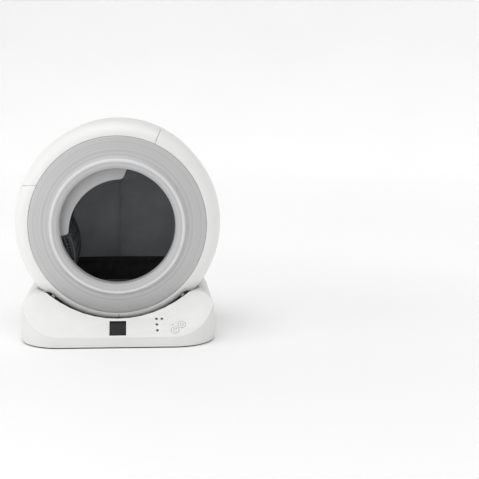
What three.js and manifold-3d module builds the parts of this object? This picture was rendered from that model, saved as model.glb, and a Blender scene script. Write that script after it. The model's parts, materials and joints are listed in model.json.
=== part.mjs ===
// A self cleaning litter box: a round drum that turns on rollers in a moulded base.
// Millimetres. +X is the right side, -Y the front, +Z up. The drum turns about a line along Y.
import * as THREE from 'three';
import { mergeVertices } from 'three/addons/utils/BufferGeometryUtils.js';
import Module from 'manifold-3d';

const wasm = await Module();
wasm.setup();

const DEG = Math.PI / 180;

// Driving sizes of the drum, measured along the drum's own axis from the middle of the base.
const drum = {
  radius: 265,
  groundGap: 25,
  wall: 3.5,
  shoulderY: -32,
  ringEdgeY: -92,
  shoulderWidth: 39,
  splitY: 78,
  rearGap: 3,
  rearShoulderDepth: 50,
  rearShoulderWidth: 53,
  rearDish: 7,
  rearBossRadius: 110,
  rearBossWidth: 9,
  facets: 48,
  shoulderFacets: 5,
};

// The grey front ring with its raised collar and the entry hole.
const ring = {
  wall: 3.5,
  bandWidth: 44,
  bandRise: 9,
  ridgeWidth: 14,
  collarY: -122,
  collarRound: 4,
  collarWidth: 22,
  lipDish: 4,
};

// The dark inner chamber, made of a left and a right half.
const chamber = {
  gap: 25,
  wall: 3,
  mouthGap: 6,
  frontY: -84,
  rearGap: 16,
  frontBevel: 6,
};

// The litter liner, the sieve and the waste bin.
const liner = { wall: 3.5, depth: 99 };
const sieve = {
  arcOutside: 20,
  arcZ: -85,
  arcRadius: 151,
  wall: 3,
  topAngle: 32,
  bottomAngle: -52,
  rows: 7,
  columns: 8,
  bar: 4,
  rim: 9,
};
const bin = {
  direction: 112.5,
  coverHalfAngle: 47.5,
  coverRearY: 70,
  housingWall: 3,
  shellGap: 4.5,
  housingRearY: 66,
  leftEndAngle: 79.5,
  trayWall: 2.5,
  trayClearance: 0.6,
  cornerRound: 18,
  slotWidth: 118,
  slotFromAngle: 84,
  slotToAngle: 112,
  gripRadius: 26,
  gripDepth: 3,
  rightMargin: 1,
  leftMargin: 1.5,
  passageMargin: 1,
};

// Places of the bin's inner arc and corners, as shares of the chamber's radius.
const binShares = {
  arcCentreAlong: -0.0875,
  arcCentreAcross: -0.01542,
  arcRadius: 0.5625,
  rightInnerAlong: 0.3583,
  rightInnerAcross: -0.35,
  trayLeftAlong: 0.125,
  trayLeftAcross: 0.4917,
};

// The ring gear round the drum and the pinion that drives it.
const gear = {
  module: 4,
  pitchDepth: 9,
  pinionTeeth: 12,
  pressureAngle: 25,
  addendumShare: 0.8,
  dedendumShare: 1.05,
  rootShare: 0.01,
  backlash: 0.5,
  width: 14,
  y: 94,
  grooveSide: 3,
  rimWall: 3,
  pinionAngle: -52,
  shaftRadius: 5,
  ringFlankPoints: 2,
  pinionFlankPoints: 4,
};

// The moulded base.
const base = {
  sideInset: 20,
  halfDepth: 205,
  cornerRadius: 104,
  rearCornerRadius: 70,
  height: 120,
  wall: 4,
  frontWall: 28,
  slope: 42,
  rearRound: 30,
  sideRound: 42,
  bottomZ: 3,
  cradleGap: 7,
  cradleFrontInset: 39,
  cradleFrontY: -160,
  cradleMidInset: 15,
  cradleMidY: -100,
  cradleFullY: -46,
  panTop: 7,
  panBottom: 4,
  arcFacets: 8,
};

const foot = { radius: 17, height: 3.7, insetX: 70, insetY: 34 };
const cell = { length: 46, width: 14, height: 8 };

// The four support rollers and their brackets.
const roller = {
  radius: 14,
  width: 20,
  bore: 4.3,
  angle: 43,
  frontY: -14,
  rearInset: 65,
  axleRadius: 4,
  cheek: 4,
  cheekRound: 9,
  postWidth: 24,
  sideGap: 1,
  cheekFacets: 4,
  boreFacets: 12,
  pocketGap: 2,
};

// The drive: gearbox and motor.
const drive = {
  motorAside: 41.6,
  motorBelow: 21.4,
  motorRadius: 18,
  motorLength: 58,
  boxWidth: 14,
  boxMotorRound: 21,
  boxShaftRound: 13,
  shaftDepth: 10,
  pocketHalfWidth: 33,
};

// Pieces let into the sloped top of the base. Places run from its front crease, up the slope.
const panel = {
  displayWidth: 41,
  displayLength: 43,
  displayStart: 5.5,
  displayDepth: 2.6,
  keyRadius: 8.8,
  keyHeight: 3.4,
  keyProud: 0.5,
  keyTravel: 1.2,
  lightRadius: 3.3,
  lightFacets: 16,
  smallFacets: 12,
  lightHeight: 3,
  dotRadius: 1.1,
  switchRadius: 4,
  boardWidth: 112,
  boardLength: 46,
  boardThickness: 1.6,
  boardDepth: 9,
  postRadius: 4,
  postInset: 6,
};
const powerKeyPlace = { x: 159, along: 36 };
const cleanKeyPlace = { x: 142, along: 19.5 };
const lightPlaces = {
  indicator_power: { x: 96, along: 54 },
  indicator_network: { x: 109.5, along: 54 },
  indicator_clean: { x: 97, along: 37 },
  indicator_bin: { x: 98, along: 19.5 },
};
const dotPlace = { x: 136, along: 36.5 };

const inlet = { x: -150, z: 36, radius: 8, bore: 3.2, boreDepth: 14, length: 20, flangeRadius: 11, flange: 2 };

const seat = 0.3;
const overrun = 5;
const roundFacets = 20;
const weld = 0.001;

// Sizes that follow from the driving ones above.
drum.axisHeight = drum.radius + drum.groundGap;
drum.rearY = base.halfDepth - drum.rearGap;
drum.rearShoulderY = drum.rearY - drum.rearShoulderDepth;
drum.rearFaceRadius = drum.radius - drum.rearShoulderWidth;
drum.ringEdgeRadius = drum.radius - drum.shoulderWidth;
ring.bandInnerRadius = drum.ringEdgeRadius - ring.bandWidth;
ring.ridgeRadius = ring.bandInnerRadius - ring.ridgeWidth;
ring.holeRadius = ring.ridgeRadius - ring.collarWidth;
ring.throatY = chamber.frontY - seat;
chamber.radius = drum.radius - chamber.gap;
chamber.mouthRadius = ring.holeRadius + chamber.mouthGap;
chamber.rearY = drum.rearY - chamber.rearGap;
liner.level = liner.depth - chamber.radius;
sieve.arcX = -chamber.radius - sieve.arcOutside;
bin.outerRadius = drum.radius - bin.shellGap;
for (const [name, share] of Object.entries(binShares)) bin[name] = share * chamber.radius;
gear.ringTeeth = Math.round(2 * (drum.radius - gear.pitchDepth) / gear.module);
base.halfWidth = drum.radius - base.sideInset;
base.cradleRadius = drum.radius + base.cradleGap;
base.cradleMidRadius = drum.radius - base.cradleMidInset;
base.cradleFrontRadius = drum.radius - base.cradleFrontInset;
roller.rearY = base.halfDepth - roller.rearInset;
drive.motorX = pinionCentre().x + drive.motorAside;
drive.motorZ = pinionCentre().z - drive.motorBelow;

const finish = {
  white: { color: 0xf1f1f0, roughness: 0.42, metalness: 0 },
  ringGrey: { color: 0xbcbabb, roughness: 0.45, metalness: 0 },
  lightGrey: { color: 0xb4b4b4, roughness: 0.5, metalness: 0 },
  darkGrey: { color: 0x3c3d3f, roughness: 0.45, metalness: 0 },
  black: { color: 0x121315, roughness: 0.7, metalness: 0 },
  glass: { color: 0x1f2021, roughness: 0.15, metalness: 0 },
  steel: { color: 0xb9bcc0, roughness: 0.3, metalness: 1 },
  acetal: { color: 0xe6e4dc, roughness: 0.4, metalness: 0 },
  board: { color: 0x1d6b45, roughness: 0.5, metalness: 0 },
};

// A closed geometry as a solid that can be joined and cut.
function solid(geometry) {
  const bare = geometry.clone();
  bare.deleteAttribute('normal');
  bare.deleteAttribute('uv');
  const merged = mergeVertices(bare, weld);
  const make = (indices) => new wasm.Manifold(
    new wasm.Mesh({
      numProp: 3,
      vertProperties: new Float32Array(merged.attributes.position.array),
      triVerts: new Uint32Array(indices),
    }),
  );
  const indices = [...merged.index.array];
  const kept = [];
  for (let i = 0; i < indices.length; i += 3) {
    const [a, b, c] = indices.slice(i, i + 3);
    if (a !== b && b !== c && c !== a) kept.push(a, b, c);
  }
  if (signedVolume(merged.attributes.position, kept) > 0) return make(kept);
  return make(kept.reverse());
}

function signedVolume(position, indices) {
  const corners = [new THREE.Vector3(), new THREE.Vector3(), new THREE.Vector3()];
  let sum = 0;
  for (let i = 0; i < indices.length; i += 3) {
    corners.forEach((corner, k) => corner.fromBufferAttribute(position, indices[i + k]));
    sum += corners[0].dot(corners[1].clone().cross(corners[2]));
  }
  return sum;
}

// A named piece from a solid.
function piece(name, body, look, parent) {
  const mesh = body.getMesh();
  const geometry = new THREE.BufferGeometry();
  geometry.setAttribute('position', new THREE.BufferAttribute(new Float32Array(mesh.vertProperties), 3));
  geometry.setIndex(new THREE.BufferAttribute(new Uint32Array(mesh.triVerts), 1));
  geometry.computeVertexNormals();
  const made = new THREE.Mesh(geometry, new THREE.MeshStandardMaterial(look));
  made.name = name;
  parent.add(made);
  return made;
}

// A body of revolution about the Y axis; each point is [radius, y].
function turned(points, facets = drum.facets) {
  const profile = points.map(([radius, y]) => new THREE.Vector2(radius, y));
  profile.push(profile[0].clone());
  return solid(new THREE.LatheGeometry(profile, facets));
}

// A rod along Y between two places.
function rod(radius, y0, y1, x = 0, z = 0, facets = roundFacets) {
  return solid(new THREE.CylinderGeometry(radius, radius, y1 - y0, facets).translate(x, (y0 + y1) / 2, z));
}

function block(width, depth, height, x, y, z) {
  return solid(new THREE.BoxGeometry(width, depth, height).translate(x, y, z));
}

// An outline in X and Z, drawn out along Y.
function drawnAlongY(shape, y0, y1, curveSegments = base.arcFacets) {
  const geometry = new THREE.ExtrudeGeometry(shape, { depth: y1 - y0, bevelEnabled: false, curveSegments });
  return solid(geometry.rotateX(Math.PI / 2).translate(0, y1, 0));
}

// An outline in Y and Z, drawn out along X both ways from the middle.
function drawnAlongX(shape, halfWidth) {
  const geometry = new THREE.ExtrudeGeometry(shape, {
    depth: 2 * halfWidth,
    bevelEnabled: false,
    curveSegments: base.arcFacets,
  });
  geometry.rotateX(Math.PI / 2).rotateZ(Math.PI / 2);
  return solid(geometry.translate(-halfWidth, 0, 0));
}

// An outline in X and Y, drawn up from z0 to z1.
function drawnUp(shape, z0, z1) {
  const geometry = new THREE.ExtrudeGeometry(shape, {
    depth: z1 - z0,
    bevelEnabled: false,
    curveSegments: base.arcFacets,
  });
  return solid(geometry.translate(0, 0, z0));
}

// Points of a quarter ellipse from [radius0, y0] to [radius1, y1], leaving along the axis at the wide end.
function shoulder(radius0, y0, radius1, y1, grow = 0) {
  const points = [];
  for (let i = 0; i <= drum.shoulderFacets; i += 1) {
    const turn = (i / drum.shoulderFacets) * Math.PI / 2;
    const across = Math.sin(turn);
    const along = 1 - Math.cos(turn);
    points.push([radius0 + (radius1 - radius0) * across + grow * across, y0 + (y1 - y0) * along]);
  }
  return points;
}

// The front half of the drum's outer shell, whole, before the bin's place is cut out.
function frontShellWhole() {
  const outer = shoulder(drum.ringEdgeRadius + seat, drum.ringEdgeY, drum.radius, drum.shoulderY);
  const inner = shoulder(
    drum.ringEdgeRadius + seat,
    drum.ringEdgeY + drum.wall,
    drum.radius - drum.wall,
    drum.shoulderY + drum.wall,
  );
  return turned([...outer, [drum.radius, drum.splitY], [drum.radius - drum.wall, drum.splitY], ...inner.reverse()]);
}

// The room inside the outer shell, drawn in by a gap.
function insideShell(gap) {
  const rear = chamber.rearY;
  const inner = shoulder(
    drum.ringEdgeRadius - gap,
    drum.ringEdgeY + drum.wall,
    drum.radius - drum.wall - gap,
    drum.shoulderY + drum.wall,
  );
  const front = drum.ringEdgeY + drum.wall;
  return turned([[0, front], ...inner, [drum.radius - drum.wall - gap, rear], [0, rear]]);
}

// A wedge of the drum about the bin's direction, between two radii and two places along the axis.
function binWedge(halfAngle, innerRadius, outerRadius, y0, y1) {
  const from = (bin.direction - halfAngle) * DEG;
  const to = (bin.direction + halfAngle) * DEG;
  const shape = new THREE.Shape();
  shape.moveTo(innerRadius * Math.cos(from), innerRadius * Math.sin(from));
  shape.lineTo(outerRadius * Math.cos(from), outerRadius * Math.sin(from));
  shape.absarc(0, 0, outerRadius, from, to, false);
  shape.lineTo(innerRadius * Math.cos(to), innerRadius * Math.sin(to));
  shape.absarc(0, 0, innerRadius, to, from, true);
  return drawnAlongY(shape, y0, y1);
}

function makeDrumShells(parent) {
  const whole = frontShellWhole();
  const coverGap = seat / (drum.radius * DEG);
  const frontOver = drum.ringEdgeY - overrun;
  const inner = drum.ringEdgeRadius - overrun;
  const outer = drum.radius + overrun;
  const opening = binWedge(bin.coverHalfAngle, inner, outer, frontOver, bin.coverRearY);
  piece('drum_front_shell', whole.subtract(opening), finish.white, parent);

  const cover = whole.intersect(
    binWedge(bin.coverHalfAngle - 2 * coverGap, inner, outer, frontOver, bin.coverRearY - 2 * seat),
  );
  const turn = bin.direction * DEG;
  const gripCentre = drum.radius + bin.gripRadius - bin.gripDepth;
  const grip = new THREE.SphereGeometry(bin.gripRadius, roundFacets, roundFacets / 2);
  grip.translate(gripCentre * Math.cos(turn), bin.coverRearY - bin.gripRadius, gripCentre * Math.sin(turn));
  const binBody = { cover: cover.subtract(solid(grip)) };

  const gearRoot = gear.module * (gear.ringTeeth / 2 - gear.dedendumShare);
  const grooveRadius = gearRoot - gear.rimWall - seat;
  const groove0 = gear.y - gear.width / 2 - gear.grooveSide;
  const groove1 = gear.y + gear.width / 2 + gear.grooveSide;
  const rearRound = shoulder(drum.rearFaceRadius, drum.rearY, drum.radius, drum.rearShoulderY).reverse();
  const rearInner = shoulder(
    drum.rearFaceRadius,
    drum.rearY - drum.wall,
    drum.radius - drum.wall,
    drum.rearShoulderY - drum.wall,
  );
  const dishY = drum.rearY - drum.rearDish;
  const dishRadius = drum.rearFaceRadius - drum.rearDish;
  const bossY = chamber.rearY + seat;
  const grooveInner = grooveRadius - drum.wall;
  piece('drum_rear_shell', turned([
    [0, dishY],
    [0, dishY - drum.wall],
    [drum.rearBossRadius, dishY - drum.wall],
    [drum.rearBossRadius, bossY],
    [drum.rearBossRadius + drum.rearBossWidth, bossY],
    [drum.rearBossRadius + drum.rearBossWidth, dishY - drum.wall],
    [dishRadius - drum.wall, dishY - drum.wall],
    ...rearInner,
    [drum.radius - drum.wall, groove1 + drum.wall],
    [grooveInner, groove1 + drum.wall],
    [grooveInner, drum.splitY + seat],
    [drum.radius, drum.splitY + seat],
    [drum.radius, groove0],
    [grooveRadius, groove0],
    [grooveRadius, groove1],
    [drum.radius, groove1],
    ...rearRound,
    [dishRadius, drum.rearY],
    [dishRadius, dishY],
  ]), finish.white, parent);
  return binBody;
}

function makeFrontRing(parent) {
  const bandY = drum.ringEdgeY - ring.bandRise;
  const lipY = ring.collarY + ring.lipDish;
  piece('front_ring', turned([
    [drum.ringEdgeRadius, drum.ringEdgeY + ring.wall],
    [drum.ringEdgeRadius, drum.ringEdgeY],
    [(drum.ringEdgeRadius + ring.bandInnerRadius) / 2, (drum.ringEdgeY + bandY) / 2 - ring.wall / 2],
    [ring.bandInnerRadius, bandY],
    [ring.ridgeRadius + ring.collarRound, ring.collarY + ring.collarRound],
    [ring.ridgeRadius, ring.collarY],
    [ring.holeRadius + ring.collarRound, lipY],
    [ring.holeRadius, lipY + ring.collarRound],
    [ring.holeRadius, ring.throatY],
    [ring.holeRadius + ring.wall, ring.throatY],
    [ring.holeRadius + ring.wall, lipY + ring.wall + ring.collarRound / 2],
    [ring.ridgeRadius - ring.wall / 2, ring.collarY + ring.wall + ring.collarRound / 2],
    [ring.bandInnerRadius, bandY + ring.wall + ring.collarRound / 2],
    [(drum.ringEdgeRadius + ring.bandInnerRadius) / 2, (drum.ringEdgeY + bandY) / 2 + ring.wall / 2],
  ]), finish.ringGrey, parent);
}

// The involute outline of one gear, [radius, angle] about its centre, with tooth 0 at angle 0.
function gearShape(teeth, inward, flankPoints) {
  const pitch = gear.module * teeth / 2;
  const baseRadius = pitch * Math.cos(gear.pressureAngle * DEG);
  const tip = pitch + gear.module * gear.addendumShare;
  const root = pitch - gear.module * gear.dedendumShare;
  const involute = (radius) => {
    const a = Math.acos(Math.min(1, baseRadius / Math.max(radius, baseRadius)));
    return Math.tan(a) - a;
  };
  const halfTooth = Math.PI / (2 * teeth) - gear.backlash / (4 * pitch);
  const halfAt = (radius) => halfTooth + involute(pitch) - involute(radius);
  const start = Math.max(root, baseRadius);
  const radii = [root];
  for (let i = 0; i < flankPoints; i += 1) {
    const radius = start + (tip - start) * i / (flankPoints - 1);
    if (radius > root + gear.module * gear.rootShare) radii.push(radius);
  }
  const shape = new THREE.Shape();
  const put = (radius, angle, first) => {
    const x = radius * Math.cos(angle);
    const y = radius * Math.sin(angle);
    if (first) shape.moveTo(x, y);
    else shape.lineTo(x, y);
  };
  for (let tooth = 0; tooth < teeth; tooth += 1) {
    const middle = 2 * Math.PI * tooth / teeth;
    radii.forEach((radius, i) => put(radius, middle - halfAt(radius), tooth === 0 && i === 0));
    [...radii].reverse().forEach((radius) => put(radius, middle + halfAt(radius)));
  }
  shape.closePath();
  const hole = new THREE.Path();
  const facets = inward > pitch / 2 ? drum.facets : roundFacets;
  for (let i = 0; i < facets; i += 1) {
    const angle = -2 * Math.PI * i / facets;
    const x = inward * Math.cos(angle);
    const y = inward * Math.sin(angle);
    if (i === 0) hole.moveTo(x, y);
    else hole.lineTo(x, y);
  }
  hole.closePath();
  shape.holes.push(hole);
  return shape;
}

function makeRingGear(parent) {
  const root = gear.module * (gear.ringTeeth / 2 - gear.dedendumShare);
  const inner = (root - gear.rimWall) / Math.cos(Math.PI / drum.facets);
  const made = piece(
    'ring_gear',
    drawnAlongY(gearShape(gear.ringTeeth, inner, gear.ringFlankPoints), gear.y - gear.width / 2, gear.y + gear.width / 2),
    finish.lightGrey,
    parent,
  );
  return made;
}

// Turns places along and across the bin's pulling direction into X and Z.
function binPoint(along, across) {
  const turn = bin.direction * DEG;
  return new THREE.Vector2(
    along * Math.cos(turn) - across * Math.sin(turn),
    along * Math.sin(turn) + across * Math.cos(turn),
  );
}

// Moves a line given by two points sideways, to its right for a positive distance.
function shifted(from, to, distance) {
  const way = to.clone().sub(from).normalize();
  const side = new THREE.Vector2(way.y, -way.x).multiplyScalar(distance);
  return [from.clone().add(side), to.clone().add(side)];
}

// The place where the line through two points meets a circle, nearest to the first point or the second.
function onCircle(from, to, centre, radius, nearFirst) {
  const way = to.clone().sub(from).normalize();
  const start = from.clone().sub(centre);
  const half = start.dot(way);
  const root = Math.sqrt(half * half - start.lengthSq() + radius * radius);
  const hits = [-half - root, -half + root].map((t) => from.clone().add(way.clone().multiplyScalar(t)));
  const target = nearFirst ? from : to;
  return hits.sort((a, b) => a.distanceTo(target) - b.distanceTo(target))[0];
}

// The bin's place seen from the front: an inner arc, two end lines with round corners, and an outer arc.
function binOutline(inset, outerRadius, leftFrom, leftTo) {
  const origin = new THREE.Vector2();
  const centre = binPoint(bin.arcCentreAlong, bin.arcCentreAcross);
  const arcRadius = bin.arcRadius + inset;
  const rightAngle = (bin.direction - bin.coverHalfAngle + bin.rightMargin) * DEG;
  const rightTo = new THREE.Vector2(Math.cos(rightAngle), Math.sin(rightAngle)).multiplyScalar(bin.outerRadius);
  const right = shifted(binPoint(bin.rightInnerAlong, bin.rightInnerAcross), rightTo, -inset);
  const left = shifted(leftFrom, leftTo, inset);
  const rightInner = onCircle(right[0], right[1], centre, arcRadius, true);
  const leftInner = onCircle(left[0], left[1], centre, arcRadius, true);
  const rightOuter = onCircle(right[0], right[1], origin, outerRadius, false);
  const leftOuter = onCircle(left[0], left[1], origin, outerRadius, false);
  const bend = Math.max(bin.cornerRound - inset, bin.cornerRound / 4);
  const angleOf = (point, about) => Math.atan2(point.y - about.y, point.x - about.x);
  const away = (from, to) => from.clone().add(to.clone().sub(from).normalize().multiplyScalar(bend));
  const onArc = (point, turn) => {
    const angle = angleOf(point, centre) + turn * bend / arcRadius;
    return centre.clone().add(new THREE.Vector2(Math.cos(angle), Math.sin(angle)).multiplyScalar(arcRadius));
  };
  const arcStart = onArc(leftInner, -1);
  const arcEnd = onArc(rightInner, 1);
  const shape = new THREE.Shape();
  shape.moveTo(rightOuter.x, rightOuter.y);
  shape.absarc(0, 0, outerRadius, angleOf(rightOuter, origin), positive(angleOf(leftOuter, origin)), false);
  const leftBend = away(leftInner, leftOuter);
  shape.lineTo(leftBend.x, leftBend.y);
  shape.quadraticCurveTo(leftInner.x, leftInner.y, arcStart.x, arcStart.y);
  shape.absarc(
    centre.x, centre.y, arcRadius,
    positive(angleOf(arcStart, centre)), angleOf(arcEnd, centre), true,
  );
  const rightBend = away(rightInner, rightOuter);
  shape.quadraticCurveTo(rightInner.x, rightInner.y, rightBend.x, rightBend.y);
  shape.closePath();
  return shape;
}

function positive(angle) {
  return angle < 0 ? angle + 2 * Math.PI : angle;
}

// The housing's left end runs along a radius of the drum.
function housingLeftLine() {
  const turn = (bin.direction + bin.leftEndAngle) * DEG;
  const way = new THREE.Vector2(Math.cos(turn), Math.sin(turn));
  return [way.clone().multiplyScalar(bin.arcRadius), way.clone().multiplyScalar(bin.outerRadius)];
}

// The tray's left side leans outward, so that the tray pulls straight out.
function trayLeftLine() {
  const turn = (bin.direction + bin.coverHalfAngle - bin.leftMargin) * DEG;
  const outer = new THREE.Vector2(Math.cos(turn), Math.sin(turn)).multiplyScalar(bin.outerRadius);
  return [binPoint(bin.trayLeftAlong, bin.trayLeftAcross), outer];
}

// All that the bin's housing fills, up to the outer shell behind the cover and to the chamber beside it.
function housingSpace(inset, y0, y1, outerRadius) {
  const outline = drawnAlongY(binOutline(inset, outerRadius, ...housingLeftLine()), y0, y1);
  const beside = rod(chamber.radius - chamber.wall - seat - inset, y0 - overrun, y1 + overrun, 0, 0, drum.facets);
  const behind = binWedge(bin.coverHalfAngle - bin.passageMargin, chamber.mouthRadius, outerRadius + overrun, y0, y1);
  return outline.intersect(beside.add(behind));
}

function housingFrontY() {
  return chamber.frontY + chamber.wall + seat;
}

function makeBinHousing(parent) {
  const y0 = housingFrontY();
  const y1 = bin.housingRearY;
  const wall = bin.housingWall;
  const filled = housingSpace(0, y0, y1, bin.outerRadius).intersect(insideShell(2 * seat));
  const hollow = housingSpace(wall, y0 + wall, y1 - wall, bin.outerRadius + overrun);
  const trayWay = drawnAlongY(
    binOutline(wall, bin.outerRadius + overrun, ...trayLeftLine()),
    y0 + wall,
    y1 - wall,
  );
  piece('bin_housing', filled.subtract(hollow).subtract(trayWay).subtract(wasteSlot()), finish.lightGrey, parent);
}

// The way for waste through the inner arc of the housing and of the tray. It is the highest part of
// the arc at rest, and the lowest when the drum has turned half way round.
function wasteSlot() {
  const centre = binPoint(bin.arcCentreAlong, bin.arcCentreAcross);
  const from = bin.slotFromAngle * DEG;
  const to = bin.slotToAngle * DEG;
  const inner = bin.arcRadius - overrun;
  const outer = bin.arcRadius + bin.housingWall + bin.trayClearance + bin.trayWall + overrun;
  const shape = new THREE.Shape();
  shape.absarc(centre.x, centre.y, outer, from, to, false);
  shape.absarc(centre.x, centre.y, inner, to, from, true);
  shape.closePath();
  const middle = (housingFrontY() + bin.housingRearY) / 2;
  return drawnAlongY(shape, middle - bin.slotWidth / 2, middle + bin.slotWidth / 2);
}

function makeWasteBin(parent, cover) {
  piece('bin_cover', cover, finish.white, parent);
  const y0 = housingFrontY() + bin.housingWall + bin.trayClearance;
  const y1 = bin.housingRearY - bin.housingWall - bin.trayClearance;
  const inset = bin.housingWall + bin.trayClearance;
  const [from, to] = trayLeftLine();
  const filled = drawnAlongY(binOutline(inset, drum.radius, from, to), y0, y1).intersect(insideShell(seat));
  const hollow = drawnAlongY(
    binOutline(inset + bin.trayWall, drum.radius + overrun, from, to),
    y0 + bin.trayWall,
    y1 - bin.trayWall,
  );
  piece('waste_tray', filled.subtract(hollow).subtract(wasteSlot()), finish.darkGrey, parent);
}

function makeChamber(parent) {
  const inner = chamber.radius - chamber.wall;
  const cup = turned([
    [chamber.mouthRadius, chamber.frontY],
    [chamber.radius - chamber.frontBevel, chamber.frontY],
    [chamber.radius, chamber.frontY + chamber.frontBevel],
    [chamber.radius, chamber.rearY],
    [0, chamber.rearY],
    [0, chamber.rearY - chamber.wall],
    [inner, chamber.rearY - chamber.wall],
    [inner, chamber.frontY + chamber.wall],
    [chamber.mouthRadius, chamber.frontY + chamber.wall],
  ].reverse());
  const passage = binWedge(
    bin.coverHalfAngle - bin.passageMargin + seat / (chamber.radius * DEG),
    inner - overrun,
    drum.radius,
    housingFrontY() - seat,
    bin.housingRearY + seat,
  );
  const trayWay = drawnAlongY(
    binOutline(bin.housingWall, drum.radius, ...trayLeftLine()),
    housingFrontY() - seat,
    bin.housingRearY + seat,
  );
  const open = cup.subtract(passage).subtract(trayWay.intersect(insideShell(0)));
  const half = 2 * chamber.radius;
  const keep = (side) => block(half, 2 * half, 2 * half, side * (half / 2 + seat / 2), 0, 0);
  const left = open.intersect(keep(-1));
  const right = open.intersect(keep(1));
  piece('chamber_left', largest(left), finish.darkGrey, parent);
  piece('chamber_right', largest(right), finish.darkGrey, parent);
}

function largest(body) {
  return body.decompose().sort((a, b) => b.volume() - a.volume())[0];
}

function makeLiner(parent) {
  const outer = chamber.radius - chamber.wall - seat;
  const inner = outer - liner.wall;
  const y0 = chamber.frontY + chamber.wall + seat;
  const y1 = chamber.rearY - chamber.wall - seat;
  const bath = rod(outer, y0, y1, 0, 0, drum.facets).subtract(
    rod(inner, y0 + liner.wall, y1 - liner.wall, 0, 0, drum.facets),
  );
  const below = block(2 * outer, 2 * outer, outer, 0, (y0 + y1) / 2, liner.level - outer / 2);
  piece('litter_liner', bath.intersect(below), finish.black, parent);
}

function makeSieve(parent) {
  const y0 = chamber.frontY + chamber.wall + liner.wall + 2 * seat;
  const y1 = chamber.rearY - chamber.wall - liner.wall - 2 * seat;
  const top = sieve.topAngle * DEG;
  const bottom = sieve.bottomAngle * DEG;
  const shape = new THREE.Shape();
  const outer = sieve.arcRadius;
  const inner = outer - sieve.wall;
  shape.moveTo(sieve.arcX + outer * Math.cos(bottom), sieve.arcZ + outer * Math.sin(bottom));
  shape.absarc(sieve.arcX, sieve.arcZ, outer, bottom, top, false);
  shape.lineTo(sieve.arcX + inner * Math.cos(top), sieve.arcZ + inner * Math.sin(top));
  shape.absarc(sieve.arcX, sieve.arcZ, inner, top, bottom, true);
  const reach = (chamber.radius - chamber.wall - liner.wall - 2 * seat) * Math.cos(Math.PI / drum.facets);
  const inside = rod(reach, y0, y1, 0, 0, drum.facets);
  const panelBody = drawnAlongY(shape, y0, y1).intersect(inside);
  const pitchY = (y1 - y0 - 2 * sieve.rim + sieve.bar) / sieve.columns;
  const gridTop = top - (2 * sieve.rim) / outer;
  const gridBottom = bottom + (3 * sieve.rim) / outer;
  const pitchTurn = (gridTop - gridBottom) / sieve.rows;
  const holes = [];
  for (let row = 0; row < sieve.rows; row += 1) {
    const turn = gridBottom + (row + 0.5) * pitchTurn;
    for (let column = 0; column < sieve.columns; column += 1) {
      const hole = new THREE.BoxGeometry(4 * sieve.wall, pitchY - sieve.bar, pitchTurn * outer - sieve.bar);
      hole.rotateY(-turn);
      const y = y0 + sieve.rim + (column + 0.5) * pitchY - sieve.bar / 2;
      hole.translate(sieve.arcX + outer * Math.cos(turn), y, sieve.arcZ + outer * Math.sin(turn));
      holes.push(solid(hole));
    }
  }
  const cleared = panelBody
    .subtract(wasm.Manifold.union(holes))
    .subtract(housingSpace(-seat, y0 - overrun, bin.housingRearY + seat, bin.outerRadius));
  piece('sieve', largest(cleared), finish.darkGrey, parent);
}

// The cradle under the drum, as a body of revolution about the drum's axis.
function cradle(grow) {
  const r = (radius) => radius + grow;
  const steep = (base.cradleMidRadius - base.cradleFrontRadius) / (base.cradleMidY - base.cradleFrontY);
  const frontEnd = base.cradleFrontY - 2 * base.wall - overrun - (base.halfDepth + base.cradleFrontY);
  return turned([
    [0, frontEnd],
    [r(base.cradleFrontRadius + steep * (frontEnd - base.cradleFrontY)), frontEnd],
    [r(base.cradleFrontRadius), base.cradleFrontY],
    [r(base.cradleMidRadius), base.cradleMidY],
    [r(base.cradleRadius), base.cradleFullY],
    [r(base.cradleRadius), base.halfDepth + 2 * base.wall + overrun],
    [0, base.halfDepth + 2 * base.wall + overrun],
  ]).translate([0, 0, drum.axisHeight]);
}

// The base's outside, moved inward by a wall.
function baseEnvelope(inset) {
  const halfWidth = base.halfWidth - inset;
  const halfDepth = base.halfDepth - inset;
  const slopeTan = Math.tan(base.slope * DEG);
  const drop = inset / Math.cos(base.slope * DEG);
  const top = base.height - inset;
  const front = base.frontWall - drop + inset * slopeTan;
  const crest = -halfDepth + (top - front) / slopeTan;
  const side = new THREE.Shape();
  side.moveTo(-halfDepth, base.bottomZ);
  side.lineTo(-halfDepth, front);
  side.lineTo(crest, top);
  side.lineTo(halfDepth - base.rearRound, top);
  side.quadraticCurveTo(halfDepth, top, halfDepth, top - base.rearRound);
  side.lineTo(halfDepth, base.bottomZ);
  side.closePath();

  const round = base.sideRound - inset;
  const across = new THREE.Shape();
  across.moveTo(-halfWidth, base.bottomZ);
  across.lineTo(halfWidth, base.bottomZ);
  across.lineTo(halfWidth, top - round);
  across.absarc(halfWidth - round, top - round, round, 0, Math.PI / 2, false);
  across.lineTo(-halfWidth + round, top);
  across.absarc(-halfWidth + round, top - round, round, Math.PI / 2, Math.PI, false);
  across.closePath();
  return planSolid(inset, base.bottomZ, top)
    .intersect(drawnAlongX(side, halfWidth))
    .intersect(drawnAlongY(across, -halfDepth, halfDepth));
}

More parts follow.
